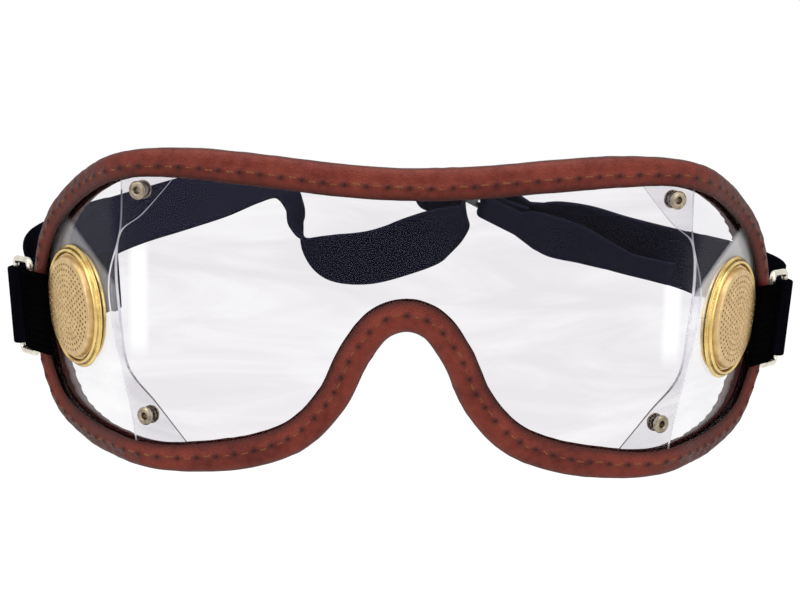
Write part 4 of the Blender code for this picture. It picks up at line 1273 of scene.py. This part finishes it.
def make_ring(side, hand):
    """A rounded rectangle of wire, with its first and second bar in the webbing and the strap."""
    place = ring_frame(side)
    corner = ring_corner_radius
    arcs = corner_arcs(corner, ring_bar_spacing - corner, webbing_width / 2 + gap, corner)
    points = [Vector((x, y, 0)) for x, y in arcs]
    count, sides = len(points), 20
    verts = []
    for i in range(count):
        along = (points[(i + 1) % count] - points[i - 1]).normalized()
        for c, s in circle(0, 0, ring_wire_radius, sides):
            verts.append(place @ (points[i] + Vector((-along.y * c, along.x * c, s))))
    faces = tube_faces(count, sides, True)
    made = add_mesh(f"ring_wire_{hand}", verts, faces, [wire], f"ring_{hand}", 60)
    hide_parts(f"wire_ring_{hand}")


# Strap

strap_layer = (strap_thickness + gap) / 2
strap_turn_radius = ring_wire_radius + gap + strap_thickness / 2
over_slide = slide_thickness / 2 + gap + strap_thickness / 2
over_loop = over_slide + strap_thickness + gap
slide_outside = slide_bar / 2 + slide_slot + slide_end_bar + strap_thickness / 2
loop_inside = slide_bar / 2 + slide_slot - gap - strap_thickness / 2
slide_end = slide_outside + slide_lead
# Where the strap is cut into pieces
ring_end_place = Vector((-70, 92, 10.4)) * MM
cross_end_place = Vector((-9, 94, 1.4)) * MM
short_split_place = Vector((78, 88.5, 1.5)) * MM


def ring_end(side, route_place):
    """A ring's second bar, its direction up, and the one in which the strap leaves it."""
    place = ring_frame(side, ring_bar_spacing)
    bar, up = place.translation, place.col[1].xyz
    if up.z < 0:
        up = -up
    leaving = route_place - bar
    return bar, up, (leaving - up * leaving.dot(up)).normalized()


def slide_matrix():
    along = Vector(slide_heading).normalized()
    across = Vector(slide_across)
    across = (across - along * across.dot(along)).normalized()
    return axes_matrix(along, across, along.cross(across), slide_place)


def route_stations(route, samples):
    rows = [(*place, *(d * MM for d in across)) for place, across in route]
    curve = catmull_rom(rows, samples, closed=False)
    return [(Vector(row[:3]), Vector(row[3:]).normalized()) for row in curve]


def bar_turn(bar, up, leaving):
    """The strap's turn round a bar, from one of its two layers to the other."""
    sideways = leaving.cross(up)
    lift = math.asin(strap_layer / strap_turn_radius)
    stations = []
    for i in range(21):
        turn = math.pi / 2 - lift / 2 + (math.pi + lift) * i / 20
        reach = leaving * math.cos(turn) + sideways * math.sin(turn)
        stations.append((bar + reach * strap_turn_radius, up))
    return stations


def doubled_stations(bar, up, leaving, offset, length):
    """One of the two layers of strap beside a bar."""
    sideways = leaving.cross(up) * offset
    return [(bar + sideways + leaving * length * share, up) for share in (0.4, 0.6, 0.8, 1.0)]


def slide_stations(place, points, radius):
    places = [place @ Vector((x, 0, n)) for x, n in points]
    return [(p, place.col[1].xyz) for p in rounded(places, radius, 8, closed=False)]


def short_stations(place):
    """The short length's middle line, from beside the slide to the right ring."""
    bar, up, leaving = ring_end(1, strap_short_route[-1][0])
    near = (bar + leaving * strap_lead, up)
    entry = (place @ Vector((slide_end, 0, 0)), place.col[1].xyz)
    return route_stations((entry, *strap_start_route, *strap_short_route, near), 10)


def tail_stations(place):
    """The free tail: over the short length, with its upper edge turning away."""
    route = short_stations(place)
    stations = []
    for index in range(5, len(route)):
        middle, across = route[index]
        distance = (middle - place.translation).length - slide_end
        if distance > strap_tail_length:
            break
        turn = strap_tail_turn * min(distance / strap_tail_turn_run, 1)
        lift = strap_tail_lift * min(distance / strap_tail_lift_run, 1)
        normal = (middle - route[index - 1][0]).cross(across).normalized()
        turned = across * math.cos(turn) + normal * math.sin(turn)
        lower_edge = middle + normal * over_loop - across * (strap_width / 2 - lift)
        stations.append((lower_edge + turned * strap_width / 2, turned))
    return stations


def nearest(stations, place):
    return min(range(len(stations)), key=lambda i: (stations[i][0] - place).length)


def make_strap_long():
    bar, up, leaving = ring_end(-1, strap_long_route[0][0])
    up = -up
    place = slide_matrix()
    near = (bar + leaving * strap_lead, up)
    entry = (place @ Vector((-slide_outside, 0, over_slide)), place.col[1].xyz)
    route = route_stations((near, *strap_long_route, *strap_loop_route, entry), 8)
    doubled = doubled_stations(bar, up, leaving, -strap_layer, strap_lead - strap_thickness)
    flap = route_stations((doubled[-1], *strap_flap_route), 8)
    stations = flap[::-1] + doubled[-2::-1] + bar_turn(bar, up, leaving)[::-1]
    stations += doubled_stations(bar, up, leaving, strap_layer, strap_lead) + route[6:-1]
    cross_end = nearest(stations, cross_end_place)
    cut = nearest(stations, ring_end_place)
    slot_side = slide_bar / 2 + gap + strap_thickness
    loop_edge = loop_inside - strap_thickness - gap
    weave = (
        (-slide_outside, over_slide), (-slot_side - strap_thickness, over_slide),
        (-slot_side, -over_slide), (loop_edge - strap_thickness / 3, -over_slide),
        (loop_edge, over_loop), (slide_end, over_loop),
    )
    stations += slide_stations(place, weave, strap_thickness)
    tail_start = len(stations) - 1
    stations += tail_stations(place)
    rows = tape_rows(stations)

    ringed = tape("strap_ring_end_left", rows[: cut + 1], elastic_tape, None)
    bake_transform(ringed)
    crossed = tape("strap_cross", rows[cut : cross_end + 1], elastic_tape)
    woven = tape("strap_through_slide", rows[cross_end : tail_start + 1], elastic_tape, None)
    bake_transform(woven)
    tail = tape("strap_tail", rows[tail_start:], elastic_tape, None)
    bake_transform(tail)
    for piece in (ringed, crossed, woven, tail):
        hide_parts("strap_long")


def make_strap_short():
    bar, up, leaving = ring_end(1, strap_short_route[-1][0])
    place = slide_matrix()
    loop = (
        (slide_end, strap_layer), (slide_outside, over_slide), (loop_inside, over_slide),
        (loop_inside, -over_slide), (slide_outside, -over_slide), (slide_end, -strap_layer),
    )
    stations = slide_stations(place, loop, strap_thickness * 0.7) + short_stations(place)[5:-5]
    stations += doubled_stations(bar, up, leaving, strap_layer, strap_lead)[::-1]
    stations += bar_turn(bar, up, leaving)
    stations += doubled_stations(bar, up, leaving, -strap_layer, strap_lead - strap_thickness)
    split = nearest(stations, short_split_place)
    rows = tape_rows(stations)
    slid = tape("strap_slide_end", rows[: split + 1], elastic_tape, None)
    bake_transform(slid)
    ringed = tape("strap_ring_end_right", rows[split:], elastic_tape, None)
    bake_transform(ringed)
    for piece in (slid, ringed):
        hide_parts("strap_short")


def make_slide():
    """A moulded frame with two slots and rounded edges."""
    half_length = slide_bar / 2 + slide_slot + slide_end_bar - slide_round_edge - slide_corner
    half_height = strap_width / 2 + gap + slide_side - slide_round_edge - slide_corner
    slot = strap_width / 2 + gap + slide_round_edge
    loops = [corner_arcs(-half_length, half_length, half_height, slide_corner)]
    for sign in (-1, 1):
        near = sign * (slide_bar / 2 - slide_round_edge)
        far = sign * (slide_bar / 2 + slide_slot + slide_round_edge)
        loops.append(((near, -slot), (far, -slot), (far, slot), (near, slot)))
    line = bpy.data.curves.new("slide_outline", "CURVE")
    line.dimensions = "2D"
    line.fill_mode = "BOTH"
    line.extrude = slide_thickness / 2 - slide_round_edge
    line.bevel_depth = slide_round_edge
    line.bevel_resolution = 3
    for points in loops:
        spline = line.splines.new("POLY")
        spline.points.add(len(points) - 1)
        for point, (x, y) in zip(spline.points, points):
            point.co = (x, y, 0, 1)
        spline.use_cyclic_u = True
    drawn = add_object("slide_outline", line)
    bpy.context.view_layer.update()
    evaluated = drawn.evaluated_get(bpy.context.evaluated_depsgraph_get())
    mesh = bpy.data.meshes.new_from_object(evaluated)
    bpy.data.objects.remove(drawn, do_unlink=True)
    mesh.transform(slide_matrix())
    verts = [v.co.copy() for v in mesh.vertices]
    faces = [tuple(p.vertices) for p in mesh.polygons]
    made = add_mesh("slide_moulding", verts, faces, [moulded], "slide", 35)
    turn_faces_out(made.data, weld=0.01 * MM)
    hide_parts("slide_adjuster")


make_sheets()
make_eyelets()
make_binding()
make_foam_roll()
make_vents()
for side, hand in hands:
    make_tab(side, hand)
    make_ring(side, hand)
make_strap_long()
make_strap_short()
make_slide()


# Stage and light

floor_place = (0, 2, -0.32)
floor_size = 14
lamp_target = Vector((0, 0.03, 0))
# Place, size and power
lamps = {
    "overhead": ((0.0, -0.25, 0.9), (1.0, 0.6), 6.0),
    "left_box": ((-0.8, -0.6, 0.35), (0.5, 0.8), 3.5),
    "right_box": ((0.8, -0.6, 0.3), (0.5, 0.8), 3.0),
}


def make_floor():
    """A pale floor well below, which is white where it is seen."""
    bpy.ops.mesh.primitive_plane_add(size=floor_size, location=floor_place)
    floor = bpy.context.object
    floor.name = "floor"
    made, nodes = new_material("floor", (0.86, 0.86, 0.86), 0.9, Specular_IOR_Level=0.0)
    seen = nodes.seen()
    nodes.shade(
        Base_Color=nodes.mixed(seen, (0.86, 0.86, 0.86), (0.34, 0.34, 0.34)),
        Emission_Color=(1, 1, 1), Emission_Strength=nodes.product(seen, 0.86),
    )
    floor.data.materials.append(made)


def make_world():
    """A white surround for the camera, gloss and clear plastic, and half as much light."""
    world = bpy.data.worlds.new("studio")
    bpy.context.scene.world = world
    world.use_nodes = True
    nodes = Nodes(world.node_tree, "Background")
    nodes.shade(Color=(1, 1, 1), Strength=nodes.ranged(nodes.seen(), 0.0, 1.0, 0.5, 1.0))


def add_lamp(name, place, size, power):
    data = bpy.data.lights.new(name, "AREA")
    data.shape = "RECTANGLE"
    data.size, data.size_y = size
    data.energy = power
    made = add_object(name, data)
    made.location = place
    made.rotation_mode = "QUATERNION"
    made.rotation_quaternion = (lamp_target - Vector(place)).to_track_quat("-Z", "Y")


make_floor()
make_world()
for name, (place, size, power) in lamps.items():
    add_lamp(name, place, size, power)
bpy.context.scene.view_settings.view_transform = "Standard"

bpy.context.view_layer.update()
